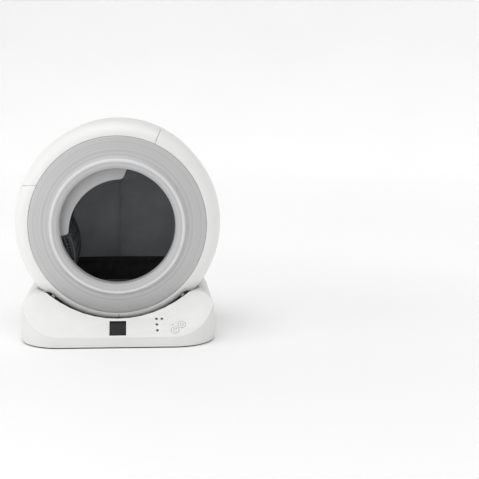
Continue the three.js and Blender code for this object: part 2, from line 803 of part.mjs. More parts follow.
// The base's outline seen from above, with wide front corners.
function planSolid(inset, z0, z1) {
  const halfWidth = base.halfWidth - inset;
  const halfDepth = base.halfDepth - inset;
  const front = base.cornerRadius - inset;
  const rear = base.rearCornerRadius - inset;
  const plan = new THREE.Shape();
  plan.moveTo(-halfWidth + front, -halfDepth);
  plan.lineTo(halfWidth - front, -halfDepth);
  plan.absarc(halfWidth - front, -halfDepth + front, front, -Math.PI / 2, 0, false);
  plan.lineTo(halfWidth, halfDepth - rear);
  plan.absarc(halfWidth - rear, halfDepth - rear, rear, 0, Math.PI / 2, false);
  plan.lineTo(-halfWidth + rear, halfDepth);
  plan.absarc(-halfWidth + rear, halfDepth - rear, rear, Math.PI / 2, Math.PI, false);
  plan.lineTo(-halfWidth, -halfDepth + front);
  plan.absarc(-halfWidth + front, -halfDepth + front, front, Math.PI, 1.5 * Math.PI, false);
  plan.closePath();
  return drawnUp(plan, z0, z1);
}

// Where a roller stands, from the bottom of the drum outward to one side.
function rollerCentre(side) {
  const reach = drum.radius + seat + roller.radius;
  const turn = roller.angle * DEG;
  return { x: side * reach * Math.sin(turn), z: drum.axisHeight - reach * Math.cos(turn) };
}

function pinionCentre() {
  const reach = gear.module * (gear.ringTeeth + gear.pinionTeeth) / 2;
  const turn = gear.pinionAngle * DEG;
  return { x: reach * Math.cos(turn), z: drum.axisHeight + reach * Math.sin(turn) };
}

// The control board's middle, between the outer key and the left lights.
function boardPlace() {
  return { x: (powerKeyPlace.x + lightPlaces.indicator_power.x) / 2, along: powerKeyPlace.along };
}

// Posts under the sloped top that carry the control board at its corners.
function boardPosts() {
  const posts = [];
  for (const sx of [-1, 1]) {
    for (const sy of [-1, 1]) {
      const post = disc(panel.postRadius, seat - panel.boardDepth, -base.wall / 2, roller.boreFacets);
      posts.push(post.translate([
        sx * (panel.boardWidth / 2 - panel.postInset),
        sy * (panel.boardLength / 2 - panel.postInset),
        0,
      ]));
    }
  }
  return onSlope(wasm.Manifold.union(posts), boardPlace());
}

// Puts what is made flat, looking up, on the sloped top of the base.
function onSlope(body, place) {
  const turn = base.slope * DEG;
  return body
    .rotate([base.slope, 0, 0])
    .translate([
      place.x,
      -base.halfDepth + place.along * Math.cos(turn),
      base.frontWall + place.along * Math.sin(turn),
    ]);
}

function disc(radius, z0, z1, facets = roundFacets) {
  const geometry = new THREE.CylinderGeometry(radius, radius, z1 - z0, facets).rotateX(Math.PI / 2);
  return solid(geometry.translate(0, 0, (z0 + z1) / 2));
}

function displayPlace() {
  return { x: 0, along: panel.displayStart + panel.displayLength / 2 };
}

function makeBase(parent) {
  const outside = baseEnvelope(0);
  const inside = baseEnvelope(base.wall)
    .add(planSolid(base.wall, base.bottomZ - overrun, base.bottomZ + base.wall))
    .subtract(cradle(base.wall));
  let shell = outside.subtract(cradle(0)).subtract(inside).add(boardPosts());
  for (const side of [-1, 1]) {
    for (const y of [roller.frontY, roller.rearY]) {
      const length = roller.width + 2 * roller.sideGap + 2 * roller.cheek + 2 * roller.sideGap;
      const pocket = new THREE.BoxGeometry(2 * (roller.radius + roller.pocketGap), length, 3 * roller.radius);
      pocket.rotateY(-side * roller.angle * DEG);
      const centre = rollerCentre(side);
      pocket.translate(centre.x, y, centre.z);
      shell = shell.subtract(solid(pocket));
    }
  }
  const pinion = pinionCentre();
  const drivePocket = new THREE.BoxGeometry(
    2 * drive.pocketHalfWidth,
    gear.width + drive.boxWidth + 4 * seat + 2 * roller.sideGap,
    2 * drive.pocketHalfWidth,
  );
  drivePocket.rotateY((90 + gear.pinionAngle) * DEG * -1);
  drivePocket.translate(pinion.x, gear.y + drive.boxWidth / 2 + seat, pinion.z);
  shell = shell.subtract(solid(drivePocket).intersect(cradle(base.wall + overrun)));

  const display = new THREE.BoxGeometry(
    panel.displayWidth + 2 * seat,
    panel.displayLength + 2 * seat,
    2 * panel.displayDepth,
  );
  shell = shell.subtract(onSlope(solid(display), displayPlace()));
  for (const place of [powerKeyPlace, cleanKeyPlace]) {
    shell = shell.subtract(onSlope(disc(panel.keyRadius + seat, -2 * base.wall, base.wall), place));
  }
  for (const place of Object.values(lightPlaces)) {
    shell = shell.subtract(onSlope(disc(panel.lightRadius + seat, -2 * base.wall, base.wall, panel.lightFacets), place));
  }
  shell = shell.subtract(onSlope(disc(panel.dotRadius + seat, -2 * base.wall, base.wall, panel.smallFacets), dotPlace));
  const inletHoles = [
    rod(inlet.radius + seat, base.halfDepth - 2 * base.wall, base.halfDepth + overrun, inlet.x, inlet.z),
    rod(inlet.flangeRadius + seat, base.halfDepth - inlet.flange - seat, base.halfDepth + overrun, inlet.x, inlet.z),
  ];
  shell = shell.subtract(wasm.Manifold.union(inletHoles));
  piece('base_top_shell', largest(shell), finish.white, parent);

  piece('base_bottom_pan', planSolid(base.wall + seat, base.panBottom, base.panTop), finish.lightGrey, parent);
}

function makeFeet(parent) {
  for (const [end, sy] of [['front', -1], ['rear', 1]]) {
    for (const [side, sx] of [['left', -1], ['right', 1]]) {
      const x = sx * (base.halfWidth - foot.insetX);
      const y = sy * (base.halfDepth - foot.insetY);
      const pad = piece(`foot_${end}_${side}`, disc(foot.radius, 0, foot.height), finish.black, parent);
      pad.position.set(x, y, 0);
      const bar = piece(
        `load_cell_${end}_${side}`,
        block(cell.length, cell.width, cell.height, 0, 0, cell.height / 2),
        finish.steel,
        parent,
      );
      bar.position.set(x, y, base.panTop + seat);
    }
  }
}

function makeRollers(parent) {
  for (const [end, y] of [['front', roller.frontY], ['rear', roller.rearY]]) {
    for (const [side, sx] of [['left', -1], ['right', 1]]) {
      const centre = rollerCentre(sx);
      const half = roller.width / 2;
      const name = `${end}_${side}`;
      const wheel = rod(roller.radius, -half, half).subtract(rod(roller.bore, -half - overrun, half + overrun));
      piece(`roller_${name}`, wheel, finish.black, parent).position.set(centre.x, y, centre.z);

      const outerHalf = half + roller.sideGap + roller.cheek;
      const axle = rod(roller.axleRadius, -outerHalf - roller.sideGap, outerHalf + roller.sideGap);
      piece(`axle_${name}`, axle, finish.steel, parent).position.set(centre.x, y, centre.z);

      const postHeight = centre.z - base.panTop - seat;
      const shape = new THREE.Shape();
      shape.moveTo(-roller.postWidth / 2, -postHeight);
      shape.lineTo(roller.postWidth / 2, -postHeight);
      shape.lineTo(roller.cheekRound, 0);
      shape.absarc(0, 0, roller.cheekRound, 0, Math.PI, false);
      shape.closePath();
      const room = roller.radius + roller.sideGap;
      const bracket = drawnAlongY(shape, -outerHalf, outerHalf, roller.cheekFacets)
        .subtract(block(
          2 * room, roller.width + 2 * roller.sideGap, 2 * room + overrun, 0, 0, overrun / 2,
        ))
        .subtract(rod(
          roller.axleRadius + seat, -outerHalf - overrun, outerHalf + overrun, 0, 0, roller.boreFacets,
        ));
      piece(`roller_bracket_${name}`, bracket, finish.white, parent).position.set(centre.x, y, centre.z);
    }
  }
}

function makeDrive(parent) {
  const centre = pinionCentre();
  const half = gear.width / 2;
  const pinionOutline = gearShape(gear.pinionTeeth, gear.shaftRadius + seat, gear.pinionFlankPoints);
  const pinionSolid = drawnAlongY(pinionOutline, -half, half);
  const pinion = piece('drive_pinion', pinionSolid, finish.acetal, parent);
  pinion.position.set(centre.x, gear.y, centre.z);
  pinion.rotation.y = -pinionPhase();

  const boxY = gear.y + half + 2 * seat;
  const shaft = rod(gear.shaftRadius, gear.y - half - roller.sideGap, boxY + drive.shaftDepth);
  piece('pinion_shaft', shaft, finish.steel, parent).position.set(centre.x, 0, centre.z);

  const outline = new THREE.Shape();
  const along = new THREE.Vector2(drive.motorX - centre.x, drive.motorZ - centre.z);
  const lean = Math.atan2(along.y, along.x);
  outline.absarc(0, 0, drive.boxShaftRound, lean + Math.PI / 2, lean + 1.5 * Math.PI, false);
  outline.absarc(along.x, along.y, drive.boxMotorRound, lean - Math.PI / 2, lean + Math.PI / 2, false);
  outline.closePath();
  const box = drawnAlongY(outline, boxY, boxY + drive.boxWidth)
    .subtract(rod(gear.shaftRadius + seat, boxY - overrun, boxY + drive.shaftDepth + seat));
  piece('gearbox', box, finish.darkGrey, parent).position.set(centre.x, 0, centre.z);

  const motor = rod(drive.motorRadius, boxY - seat - drive.motorLength, boxY - seat);
  piece('motor', motor, finish.steel, parent).position.set(drive.motorX, 0, drive.motorZ);
}

// The turn that puts a gap of the pinion over a tooth of the ring gear.
function pinionPhase() {
  const way = gear.pinionAngle * DEG;
  const ringPitch = 2 * Math.PI / gear.ringTeeth;
  const pinionPitch = 2 * Math.PI / gear.pinionTeeth;
  const ringOffset = way - Math.round(way / ringPitch) * ringPitch;
  return way + Math.PI + pinionPitch / 2 + (ringOffset * gear.ringTeeth) / gear.pinionTeeth;
}

function makePanelPieces(parent) {
  const display = block(
    panel.displayWidth, panel.displayLength, panel.displayDepth - seat, 0, 0, -(panel.displayDepth - seat) / 2 - seat / 2,
  );
  piece('display_window', onSlope(display, displayPlace()), finish.glass, parent);
  const keys = { power_key: powerKeyPlace, clean_key: cleanKeyPlace };
  for (const [name, place] of Object.entries(keys)) {
    const cap = disc(panel.keyRadius, panel.keyProud - panel.keyHeight, panel.keyProud);
    piece(name, onSlope(cap, place), finish.white, parent);
    const low = panel.keyProud - panel.keyHeight - panel.keyTravel - seat;
    const tact = disc(panel.switchRadius, -panel.boardDepth + seat, low, panel.smallFacets);
    piece(`${name}_switch`, onSlope(tact, place), finish.black, parent);
  }
  for (const [name, place] of Object.entries(lightPlaces)) {
    piece(name, onSlope(disc(panel.lightRadius, -panel.lightHeight, 0, panel.lightFacets), place), finish.glass, parent);
  }
  piece('status_dot', onSlope(disc(panel.dotRadius, -panel.lightHeight, 0, panel.smallFacets), dotPlace), finish.glass, parent);
  const boardZ = -panel.boardDepth - panel.boardThickness / 2;
  const board = block(panel.boardWidth, panel.boardLength, panel.boardThickness, 0, 0, boardZ);
  piece('control_board', onSlope(board, boardPlace()), finish.board, parent);
}

function makeInlet(parent) {
  const flange = rod(inlet.flangeRadius, -inlet.flange, 0);
  const barrel = rod(inlet.radius, -inlet.length, -inlet.flange / 2);
  const body = barrel.add(flange).subtract(rod(inlet.bore, -inlet.boreDepth, overrun));
  piece('power_inlet', body, finish.black, parent).position.set(inlet.x, base.halfDepth, inlet.z);
}

const litterBox = new THREE.Group();
litterBox.name = 'self_cleaning_litter_box';

const drumGroup = new THREE.Group();
drumGroup.name = 'drum_group';
drumGroup.position.z = drum.axisHeight;
litterBox.add(drumGroup);
const { cover } = makeDrumShells(drumGroup);
makeFrontRing(drumGroup);
makeRingGear(drumGroup);
makeChamber(drumGroup);
makeLiner(drumGroup);
makeSieve(drumGroup);
makeBinHousing(drumGroup);
makeWasteBin(drumGroup, cover);

const baseGroup = new THREE.Group();
baseGroup.name = 'base_group';
litterBox.add(baseGroup);
makeBase(baseGroup);
makeFeet(baseGroup);
makeRollers(baseGroup);
makeDrive(baseGroup);
makePanelPieces(baseGroup);
makeInlet(baseGroup);

export default litterBox;
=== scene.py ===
"""Self cleaning litter box: the looks of its visible pieces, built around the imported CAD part.

Sizes are in millimetres until a mesh is made, and the drum's axis runs along Y.
"""

from __future__ import annotations

import json
import logging
import math
from dataclasses import dataclass
from enum import Enum
from typing import Callable, Iterable, Sequence

import bpy
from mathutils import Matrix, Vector

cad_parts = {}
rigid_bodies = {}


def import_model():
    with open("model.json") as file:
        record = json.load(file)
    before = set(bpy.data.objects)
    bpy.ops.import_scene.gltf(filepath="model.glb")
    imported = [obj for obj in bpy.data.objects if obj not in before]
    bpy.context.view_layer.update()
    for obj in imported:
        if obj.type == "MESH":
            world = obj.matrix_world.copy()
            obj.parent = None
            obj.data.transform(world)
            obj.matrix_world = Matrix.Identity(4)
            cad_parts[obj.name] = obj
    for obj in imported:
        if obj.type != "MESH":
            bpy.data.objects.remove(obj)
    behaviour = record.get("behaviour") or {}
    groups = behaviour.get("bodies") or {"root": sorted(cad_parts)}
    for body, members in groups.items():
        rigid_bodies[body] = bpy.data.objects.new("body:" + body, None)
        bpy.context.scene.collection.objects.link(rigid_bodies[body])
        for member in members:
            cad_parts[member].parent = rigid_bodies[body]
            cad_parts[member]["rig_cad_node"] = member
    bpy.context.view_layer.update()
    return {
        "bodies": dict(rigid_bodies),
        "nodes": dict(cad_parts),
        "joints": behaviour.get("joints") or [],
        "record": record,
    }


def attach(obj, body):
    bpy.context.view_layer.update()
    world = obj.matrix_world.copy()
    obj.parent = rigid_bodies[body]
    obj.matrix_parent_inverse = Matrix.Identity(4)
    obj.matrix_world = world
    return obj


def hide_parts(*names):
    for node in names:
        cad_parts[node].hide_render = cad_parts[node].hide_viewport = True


LOG = logging.getLogger("litter_box")
MM = 0.001
PHOTO_SIDE = 479
AXIS_HEIGHT = 290.0
NOISE_SPAN = {"From Min": 0.3, "From Max": 0.7}
CLOUD_NOISE = {"Detail": 3.0, "Roughness": 0.55}
TURNED_NOISE = {"noise_dimensions": "1D", "Detail": 3.0, "Roughness": 0.6}
GRAIN_NOISE = {"Detail": 2.0, "Roughness": 0.5}
LEAST_ROUGHNESS = 0.02
BRUSH_STRETCH = (1, 0.06, 1)
DISPLAY_REFLECTION_LOW = 0.15
CRISP_ANGLE = 32.0
BEVEL_ANGLE = 35.0
BEVEL_SEGMENTS = 2
FLAT_ANGLE = 0.4
WELD_MM = 0.01
BEND_SHARE = 0.45

Point2 = tuple[float, float]
Point3 = tuple[float, float, float]
Shape = tuple[list[Point3], list[list[int]]]
Tree = bpy.types.NodeTree
Socket = bpy.types.NodeSocket
Thing = bpy.types.Object


def linear(colour: str) -> tuple[float, float, float, float]:
    """Turns an sRGB hex colour to the linear values that a shader takes.

    Args:
        colour: six hex digits after a hash sign.

    Returns:
        Red, green, blue and an alpha of one.
    """
    parts = [int(colour[i : i + 2], 16) / 255 for i in (1, 3, 5)]
    values = [p / 12.92 if p <= 0.04045 else ((p + 0.055) / 1.055) ** 2.4 for p in parts]
    return values[0], values[1], values[2], 1.0


def add_node(
    tree: Tree,
    kind: str,
    settings: dict[str | int, object] | None = None,
    links: dict[str | int, Socket] | None = None,
) -> bpy.types.Node:
    """Adds one node with its settings and links.

    Args:
        tree: the node tree it goes in.
        kind: the node's type name.
        settings: values by socket name or number, or by property name.
        links: the sockets that feed it, by its own socket name or number.

    Returns:
        The new node.
    """
    node = tree.nodes.new(kind)
    for key, value in (settings or {}).items():
        if isinstance(key, int) or key in node.inputs:
            node.inputs[key].default_value = value
        else:
            setattr(node, key, value)
    for key, source in (links or {}).items():
        tree.links.new(source, node.inputs[key])
    return node


class Pattern(Enum):
    """How a finish's surface is marked."""

    GRAIN = "fine even grain of a spark eroded mould"
    TURNED = "rings about the drum's axis"
    BRUSHED = "straight marks along the piece"
    # the window's paler top is a painted reflection; its black border is print
    DISPLAY = "dark window, paler toward its top within a black border"


@dataclass(frozen=True)
class Finish:
    """One real material and the way its surface was made."""

    name: str
    colour: str
    second: str
    roughness: float
    spread: float
    grain_mm: float
    depth_mm: float
    cloud_mm: float = 60.0
    ior: float = 1.53
    metallic: float = 0.0
    pattern: Pattern = Pattern.GRAIN


# White ABS from a finely eroded mould: a satin sheen with no sharp reflections. Its real grain of
# 0.1 mm can't show, so it is drawn 1.6 mm wide.
SHELL_ABS = Finish("moulded_white_abs", "#f0f0ef", "#eeeeed", 0.42, 0.05, 1.6, 0.012)
# The base comes from the same resin with a slightly duller face.
BASE_ABS = Finish("moulded_white_abs_base", "#eaeae9", "#e6e6e5", 0.46, 0.05, 1.8, 0.014)
# Grey ABS ring turned and polished: circular marks about 5 mm apart catch the light in arcs.
RING_ABS = Finish(
    "moulded_grey_abs_ring", "#cbcacb", "#bcbbbc", 0.38, 0.015, 5.5, 0.05, pattern=Pattern.TURNED
)
# Polished rim between ring band and collar, paler all round: a painted highlight round the entry.
BEAD_PAINTED_HIGHLIGHT = Finish("grey_abs_bead_painted_highlight", "#e2e2e3", "#dcdcdd", 0.32, 0.03, 1.6, 0.004, 30.0)
# Light grey ABS of the bin's housing: matt, evenly grained.
HOUSING_ABS = Finish("moulded_light_grey_abs", "#b9b9b9", "#b2b2b2", 0.52, 0.05, 1.6, 0.015)
# Dark grey polypropylene of the chamber: a waxy, slightly uneven sheen from a plain mould.
CHAMBER_PP = Finish("moulded_dark_grey_polypropylene", "#84868a", "#7b7d81", 0.48, 0.06, 2.4, 0.02)
# The housing's body is the same polypropylene, in its own darker batch.
HOUSING_PP = Finish("moulded_housing_polypropylene", "#37393b", "#333537", 0.5, 0.06, 2.4, 0.02)
# The waste tray is the same polypropylene, more worn.
TRAY_PP = Finish("moulded_tray_polypropylene", "#3c3d3f", "#343537", 0.5, 0.08, 2.4, 0.02, 25.0)
# Dark nylon of the sieve: a dull face with a little gloss on the bars.
SIEVE_NYLON = Finish("moulded_dark_nylon_sieve", "#4c4d50", "#424346", 0.44, 0.06, 1.2, 0.02, 20.0)
# Black silicone rubber liner: matt and dusty, with soft cloudy wear.
LINER_RUBBER = Finish(
    "cast_black_silicone_rubber", "#2c2d2f", "#242527", 0.72, 0.07, 1.4, 0.03, 22.0
)
# Black rubber of the rollers and feet: matt, ground faces; on the base's skirt it is painted
# shadow.
TREAD_RUBBER = Finish("ground_black_rubber", "#191a1b", "#121213", 0.78, 0.06, 1.0, 0.04, 9.0)
# Acrylic window, anti-glare coat: dim gloss over black print; paler toward the top, a painted
# reflection.
DISPLAY_ACRYLIC = Finish(
    "coated_black_acrylic", "#0b0b0b", "#19191a", 0.18, 0.02, 2.0, 0.002, 60.0, 1.25,
    pattern=Pattern.DISPLAY,
)
# Smoked acrylic light pipes: small glossy black dots.
LIGHT_ACRYLIC = Finish(
    "smoked_acrylic_light_pipe", "#121213", "#1a1a1b", 0.2, 0.04, 1.0, 0.004, 4.0
)
# Printed grey outline of the keys: flat ink, a little rougher than the shell.
KEY_INK = Finish("printed_grey_ink", "#6c6c6d", "#646465", 0.55, 0.04, 0.8, 0.006, 6.0)
# Matt black strip: painted shade, standing in for the shadow in the gap under the drum's shoulder.
GAP_SHADE_BLACK = Finish("black_gap_painted_shade", "#0c0c0d", "#141415", 0.92, 0.05, 0.9, 0.05, 5.0)
# Acetal pinion: ivory, smooth and slightly waxy.
PINION_ACETAL = Finish("cut_acetal", "#e3e0d6", "#dad7cc", 0.38, 0.05, 1.0, 0.01, 12.0)
# Ring gear in light grey filled nylon: dull with small flecks.
GEAR_NYLON = Finish("moulded_grey_nylon_gear", "#b0b0ae", "#a6a6a4", 0.5, 0.06, 1.4, 0.02, 18.0)
# Ground steel axles, motor can and load cells: long fine marks and a soft metallic shine.
GROUND_STEEL = Finish(
    "ground_steel", "#b4b6b9", "#a3a5a8", 0.3, 0.08, 0.8, 0.01, 14.0, 1.5, 1.0, Pattern.BRUSHED
)
# Fibreglass board under green solder mask: glossy with a faint weave.
BOARD_LAMINATE = Finish("green_masked_fibreglass", "#1c5c3e", "#17513a", 0.32, 0.05, 0.9, 0.01, 8.0)
# Black nylon of the gearbox, inlet and switches: dull, evenly grained.
BLACK_NYLON = Finish("moulded_black_nylon", "#1d1e1f", "#161718", 0.5, 0.06, 1.2, 0.02, 12.0)
# Painted studio floor: even and matt, so that the part's soft shadow shows.
FLOOR_PAINT = Finish("matt_white_paint", "#fafafa", "#f8f8f8", 0.9, 0.02, 8.0, 0.0, 900.0)


def surface(finish: Finish) -> bpy.types.Material:
    """Makes the node material of a finish, once.

    Args:
        finish: the real material to draw.

    Returns:
        The material, shared by all pieces with that finish.
    """
    made = bpy.data.materials.get(finish.name)
    if made:
        return made
    made = bpy.data.materials.new(finish.name)
    made.use_nodes = True
    tree = made.node_tree
    tree.nodes.clear()
    place = add_node(tree, "ShaderNodeTexCoord").outputs["Object"]
    cloud = add_node(
        tree,
        "ShaderNodeTexNoise",
        {"Scale": 1 / (finish.cloud_mm * MM), **CLOUD_NOISE},
        {"Vector": place},
    ).outputs["Fac"]
    grain = grain_of(tree, finish, place)
    tone = add_node(
        tree,
        "ShaderNodeMapRange",
        {**NOISE_SPAN, "To Min": 0.0, "To Max": 1.0},
        {"Value": grain if finish.pattern is Pattern.TURNED else cloud},
    ).outputs["Result"]
    if finish.pattern is Pattern.DISPLAY:
        # painted reflection: the display window is paler toward its top
        tone = display_reflection_and_border(tree, place)
    colour = add_node(
        tree,
        "ShaderNodeMix",
        {"data_type": "RGBA", 6: linear(finish.colour), 7: linear(finish.second)},
        {0: tone},
    ).outputs[2]
    rough = add_node(
        tree,
        "ShaderNodeMapRange",
        {
            **NOISE_SPAN,
            "To Min": max(LEAST_ROUGHNESS, finish.roughness - finish.spread),
            "To Max": min(1.0, finish.roughness + finish.spread),
        },
        {"Value": cloud},
    ).outputs["Result"]
    links = {"Base Color": colour, "Roughness": rough}
    if finish.depth_mm > 0:
        links["Normal"] = add_node(
            tree,
            "ShaderNodeBump",
            {"Strength": 1.0, "Distance": finish.depth_mm * MM},
            {"Height": grain},
        ).outputs["Normal"]
    settings = {"Metallic": finish.metallic}
    if finish.metallic == 0:
        settings["IOR"] = finish.ior
    shader = add_node(tree, "ShaderNodeBsdfPrincipled", settings, links)
    add_node(tree, "ShaderNodeOutputMaterial", {}, {"Surface": shader.outputs["BSDF"]})
    return made


def grain_of(
    tree: Tree, finish: Finish, place: Socket
) -> Socket:
    """Draws the height of a finish's fine marks.

    Args:
        tree: the material's tree.
        finish: the finish being made.
        place: the point on the piece, in metres.

    Returns:
        A socket with the height, from 0 to 1.
    """
    scale = 1 / (finish.grain_mm * MM)
    if finish.pattern is Pattern.TURNED:
        flat = add_node(
            tree,
            "ShaderNodeVectorMath",
            {"operation": "MULTIPLY_ADD", 1: (1, 0, 1), 2: (0, 0, -AXIS_HEIGHT * MM)},
            {0: place},
        ).outputs["Vector"]
        radius = add_node(
            tree, "ShaderNodeVectorMath", {"operation": "LENGTH"}, {0: flat}
        ).outputs["Value"]
        return add_node(
            tree, "ShaderNodeTexNoise", {**TURNED_NOISE, "Scale": scale}, {"W": radius}
        ).outputs["Fac"]
    vector = place
    if finish.pattern is Pattern.BRUSHED:
        vector = add_node(
            tree, "ShaderNodeVectorMath", {"operation": "MULTIPLY", 1: BRUSH_STRETCH}, {0: place}
        ).outputs["Vector"]
    return add_node(
        tree, "ShaderNodeTexNoise", {**GRAIN_NOISE, "Scale": scale}, {"Vector": vector}
    ).outputs["Fac"]


def display_reflection_and_border(tree: Tree, place: Socket) -> Socket:
    """Draws the display's paler inside, a painted reflection that fades down the slope, within its
    black border.

    Args:
        tree: the material's tree.
        place: the point on the piece, in metres.

    Returns:
        A socket with the share of the paler colour, the painted reflection.
    """
    panel = ControlPanel()
    lean = math.radians(panel.slope)
    height = add_node(
        tree,
        "ShaderNodeVectorMath",
        {"operation": "DOT_PRODUCT", 1: (0, math.cos(lean), math.sin(lean))},
        {0: place},
    ).outputs["Value"]
    low = (-panel.half_depth * math.cos(lean) + panel.front_wall * math.sin(lean)) * MM
    start = low + panel.display_start * MM
    end = start + panel.display_length * MM
    rise = add_node(
        tree,
        "ShaderNodeMapRange",
        {"From Min": start, "From Max": end, "To Min": DISPLAY_REFLECTION_LOW, "To Max": 1.0},
        {"Value": height},
    ).outputs["Result"]
    across = add_node(tree, "ShaderNodeSeparateXYZ", {}, {0: place}).outputs["X"]
    aside = add_node(tree, "ShaderNodeMath", {"operation": "ABSOLUTE"}, {0: across}).outputs[0]
    edge = panel.display_border * MM
    tests = (
        (aside, "LESS_THAN", panel.display_width / 2 * MM - edge),
        (height, "GREATER_THAN", start + edge),
        (height, "LESS_THAN", end - edge),
    )
    insides = [
        add_node(tree, "ShaderNodeMath", {"operation": test, 1: limit}, {0: value}).outputs[0]
        for value, test, limit in tests
    ]
    share = rise
    for inside in insides:
        share = add_node(
            tree, "ShaderNodeMath", {"operation": "MULTIPLY"}, {0: share, 1: inside}
        ).outputs[0]
    return share


def edge_shading() -> Tree:
    """Makes the modifier that shades flat faces crisp and round ones smooth, once."""
    name = "crisp_above_angle"
    tree = bpy.data.node_groups.get(name)
    if tree:
        return tree
    tree = bpy.data.node_groups.new(name, "GeometryNodeTree")
    tree.interface.new_socket("Geometry", in_out="INPUT", socket_type="NodeSocketGeometry")
    tree.interface.new_socket("Geometry", in_out="OUTPUT", socket_type="NodeSocketGeometry")
    start = add_node(tree, "NodeGroupInput").outputs[0]
    smooth = add_node(
        tree, "GeometryNodeSetShadeSmooth", {"domain": "FACE", 2: True}, {0: start}
    ).outputs[0]
    angle = add_node(tree, "GeometryNodeInputMeshEdgeAngle").outputs["Unsigned Angle"]
    crisp = add_node(
        tree,
        "FunctionNodeCompare",
        {"operation": "GREATER_THAN", 1: math.radians(CRISP_ANGLE)},
        {0: angle},
    ).outputs[0]
    edges = add_node(
        tree, "GeometryNodeSetShadeSmooth", {"domain": "EDGE", 2: False}, {0: smooth, 1: crisp}
    ).outputs[0]
    add_node(tree, "NodeGroupOutput", {}, {0: edges})
    return tree


def dress(piece: Thing, finish: Finish) -> None:
    """Gives a piece one finish all over."""
    piece.data.materials.clear()
    piece.data.materials.append(surface(finish))


def add_weld(piece: Thing, reach_mm: float) -> None:
    """Joins corners that are closer than a reach."""
    piece.modifiers.new("join", "WELD").merge_threshold = reach_mm * MM


def soften(piece: Thing, width_mm: float, from_cad: bool = False) -> None:
    """Rounds a piece's edges a little and shades it by angle, with modifiers only.

    Args:
        piece: the object to soften.
        width_mm: the width of the rounded edge.
        from_cad: whether its faces are the CAD's triangles, joined first into whole faces.
    """
    if from_cad:
        normals = piece.data.attributes.get("custom_normal")
        if normals:
            piece.data.attributes.remove(normals)
        add_weld(piece, WELD_MM)
        whole = piece.modifiers.new("whole_faces", "DECIMATE")
        whole.decimate_type = "DISSOLVE"
        whole.angle_limit = math.radians(FLAT_ANGLE)
    if width_mm > 0:
        bevel = piece.modifiers.new("round_edges", "BEVEL")
        bevel.width = width_mm * MM
        bevel.segments = BEVEL_SEGMENTS
        bevel.limit_method = "ANGLE"
        bevel.angle_limit = math.radians(BEVEL_ANGLE)
        bevel.use_clamp_overlap = True
        bevel.miter_outer = "MITER_ARC"
    shade = piece.modifiers.new("shade", "NODES")
    shade.node_group = edge_shading()


def add_wall(piece: Thing, thickness_mm: float, offset: float) -> bpy.types.Modifier:
    """Gives a sheet its thickness: inward for an offset of -1, both ways for 0."""
    wall = piece.modifiers.new("wall", "SOLIDIFY")
    wall.thickness = thickness_mm * MM
    wall.offset = offset
    return wall


def add_object(name: str, data: bpy.types.ID) -> Thing:
    """Adds an object with its data to the scene."""
    thing = bpy.data.objects.new(name, data)
    bpy.context.scene.collection.objects.link(thing)
    return thing


def new_piece(
    name: str,
    corners_mm: Sequence[Point3],
    faces: Sequence[Sequence[int]],
    body: str,
    finish: Finish,
    stands_for: Iterable[str] = (),
) -> Thing:
    """Makes a mesh piece and lets it ride on a body.

    Args:
        name: the piece's name.
        corners_mm: its corners in the part's frame.
        faces: corner numbers of each face.
        body: the CAD body it moves with.
        finish: what it is made of.
        stands_for: CAD nodes that it replaces.

    Returns:
        The new object.
    """
    mesh = bpy.data.meshes.new(name)
    mesh.from_pydata([tuple(c * MM for c in corner) for corner in corners_mm], [], faces)
    mesh.validate()
    mesh.update()
    piece = add_object(name, mesh)
    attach(piece, body)
    for node in stands_for:
        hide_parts(node)
    dress(piece, finish)
    LOG.info("%s: %d corners, rides on %s", name, len(mesh.vertices), body)
    return piece


def bend(start: Vector, corner: Vector, end: Vector, steps: int) -> list[Vector]:
    """Gives points of a curve that leaves its start toward a corner and ends at its end."""
    return [
        start * (1 - t) ** 2 + corner * (2 * t * (1 - t)) + end * t**2
        for t in (i / steps for i in range(steps + 1))
    ]


def rounded(points: Sequence[Point2], radius: float, steps: int) -> list[Point2]:
    """Rounds the corners of an open line.

    Args:
        points: the line's corners.
        radius: how far before and after a corner the bend starts, at most.
        steps: pieces in each bend.

    Returns:
        The line with a smooth bend at each inner corner.
    """
    line = [points[0]]
    for before, corner, after in zip(points, points[1:], points[2:]):
        a, b, c = Vector(before), Vector(corner), Vector(after)
        reach = min(radius, (a - b).length * BEND_SHARE, (c - b).length * BEND_SHARE)
        p0 = b + (a - b).normalized() * reach
        p2 = b + (c - b).normalized() * reach
        line += [(p.x, p.y) for p in bend(p0, b, p2, steps)]
    line.append(points[-1])
    return line


def around(radius: float, y: float, turn: float) -> Point3:
    """Gives the point at a radius and an angle about the drum's axis, and a place along it."""
    return radius * math.cos(turn), y, AXIS_HEIGHT + radius * math.sin(turn)


def full_turn(count: int) -> list[float]:
    """Gives even angles once round, in radians."""
    return [2 * math.pi * i / count for i in range(count)]


def even(start: float, end: float, steps: int) -> list[float]:
    """Gives even stops from a start to an end, both included."""
    return [start + (end - start) * i / steps for i in range(steps + 1)]


def sweep(start: float, end: float, steps: int) -> list[float]:
    """Gives even angles between two that are in degrees, in radians."""
    return [math.radians(angle) for angle in even(start, end, steps)]


def circle(centre: Point2, radius: float, turns: Iterable[float]) -> list[Point2]:
    """Gives the points of a circle at some angles, in radians."""
    return [(centre[0] + radius * math.cos(t), centre[1] + radius * math.sin(t)) for t in turns]


def grid(rows: int, columns: int, loop_rows: bool, loop_columns: bool) -> list[list[int]]:
    """Gives the four sided faces between the points of a grid.

    Args:
        rows: lines of points.
        columns: points in each line.
        loop_rows: whether the last line joins the first.
        loop_columns: whether each line's last point joins its first.

    Returns:
        Point numbers of each face, row by row.
    """
    return [
        [
            i * columns + j,
            i * columns + (j + 1) % columns,
            (i + 1) % rows * columns + (j + 1) % columns,
            (i + 1) % rows * columns + j,
        ]
        for i in range(rows if loop_rows else rows - 1)
        for j in range(columns if loop_columns else columns - 1)
    ]


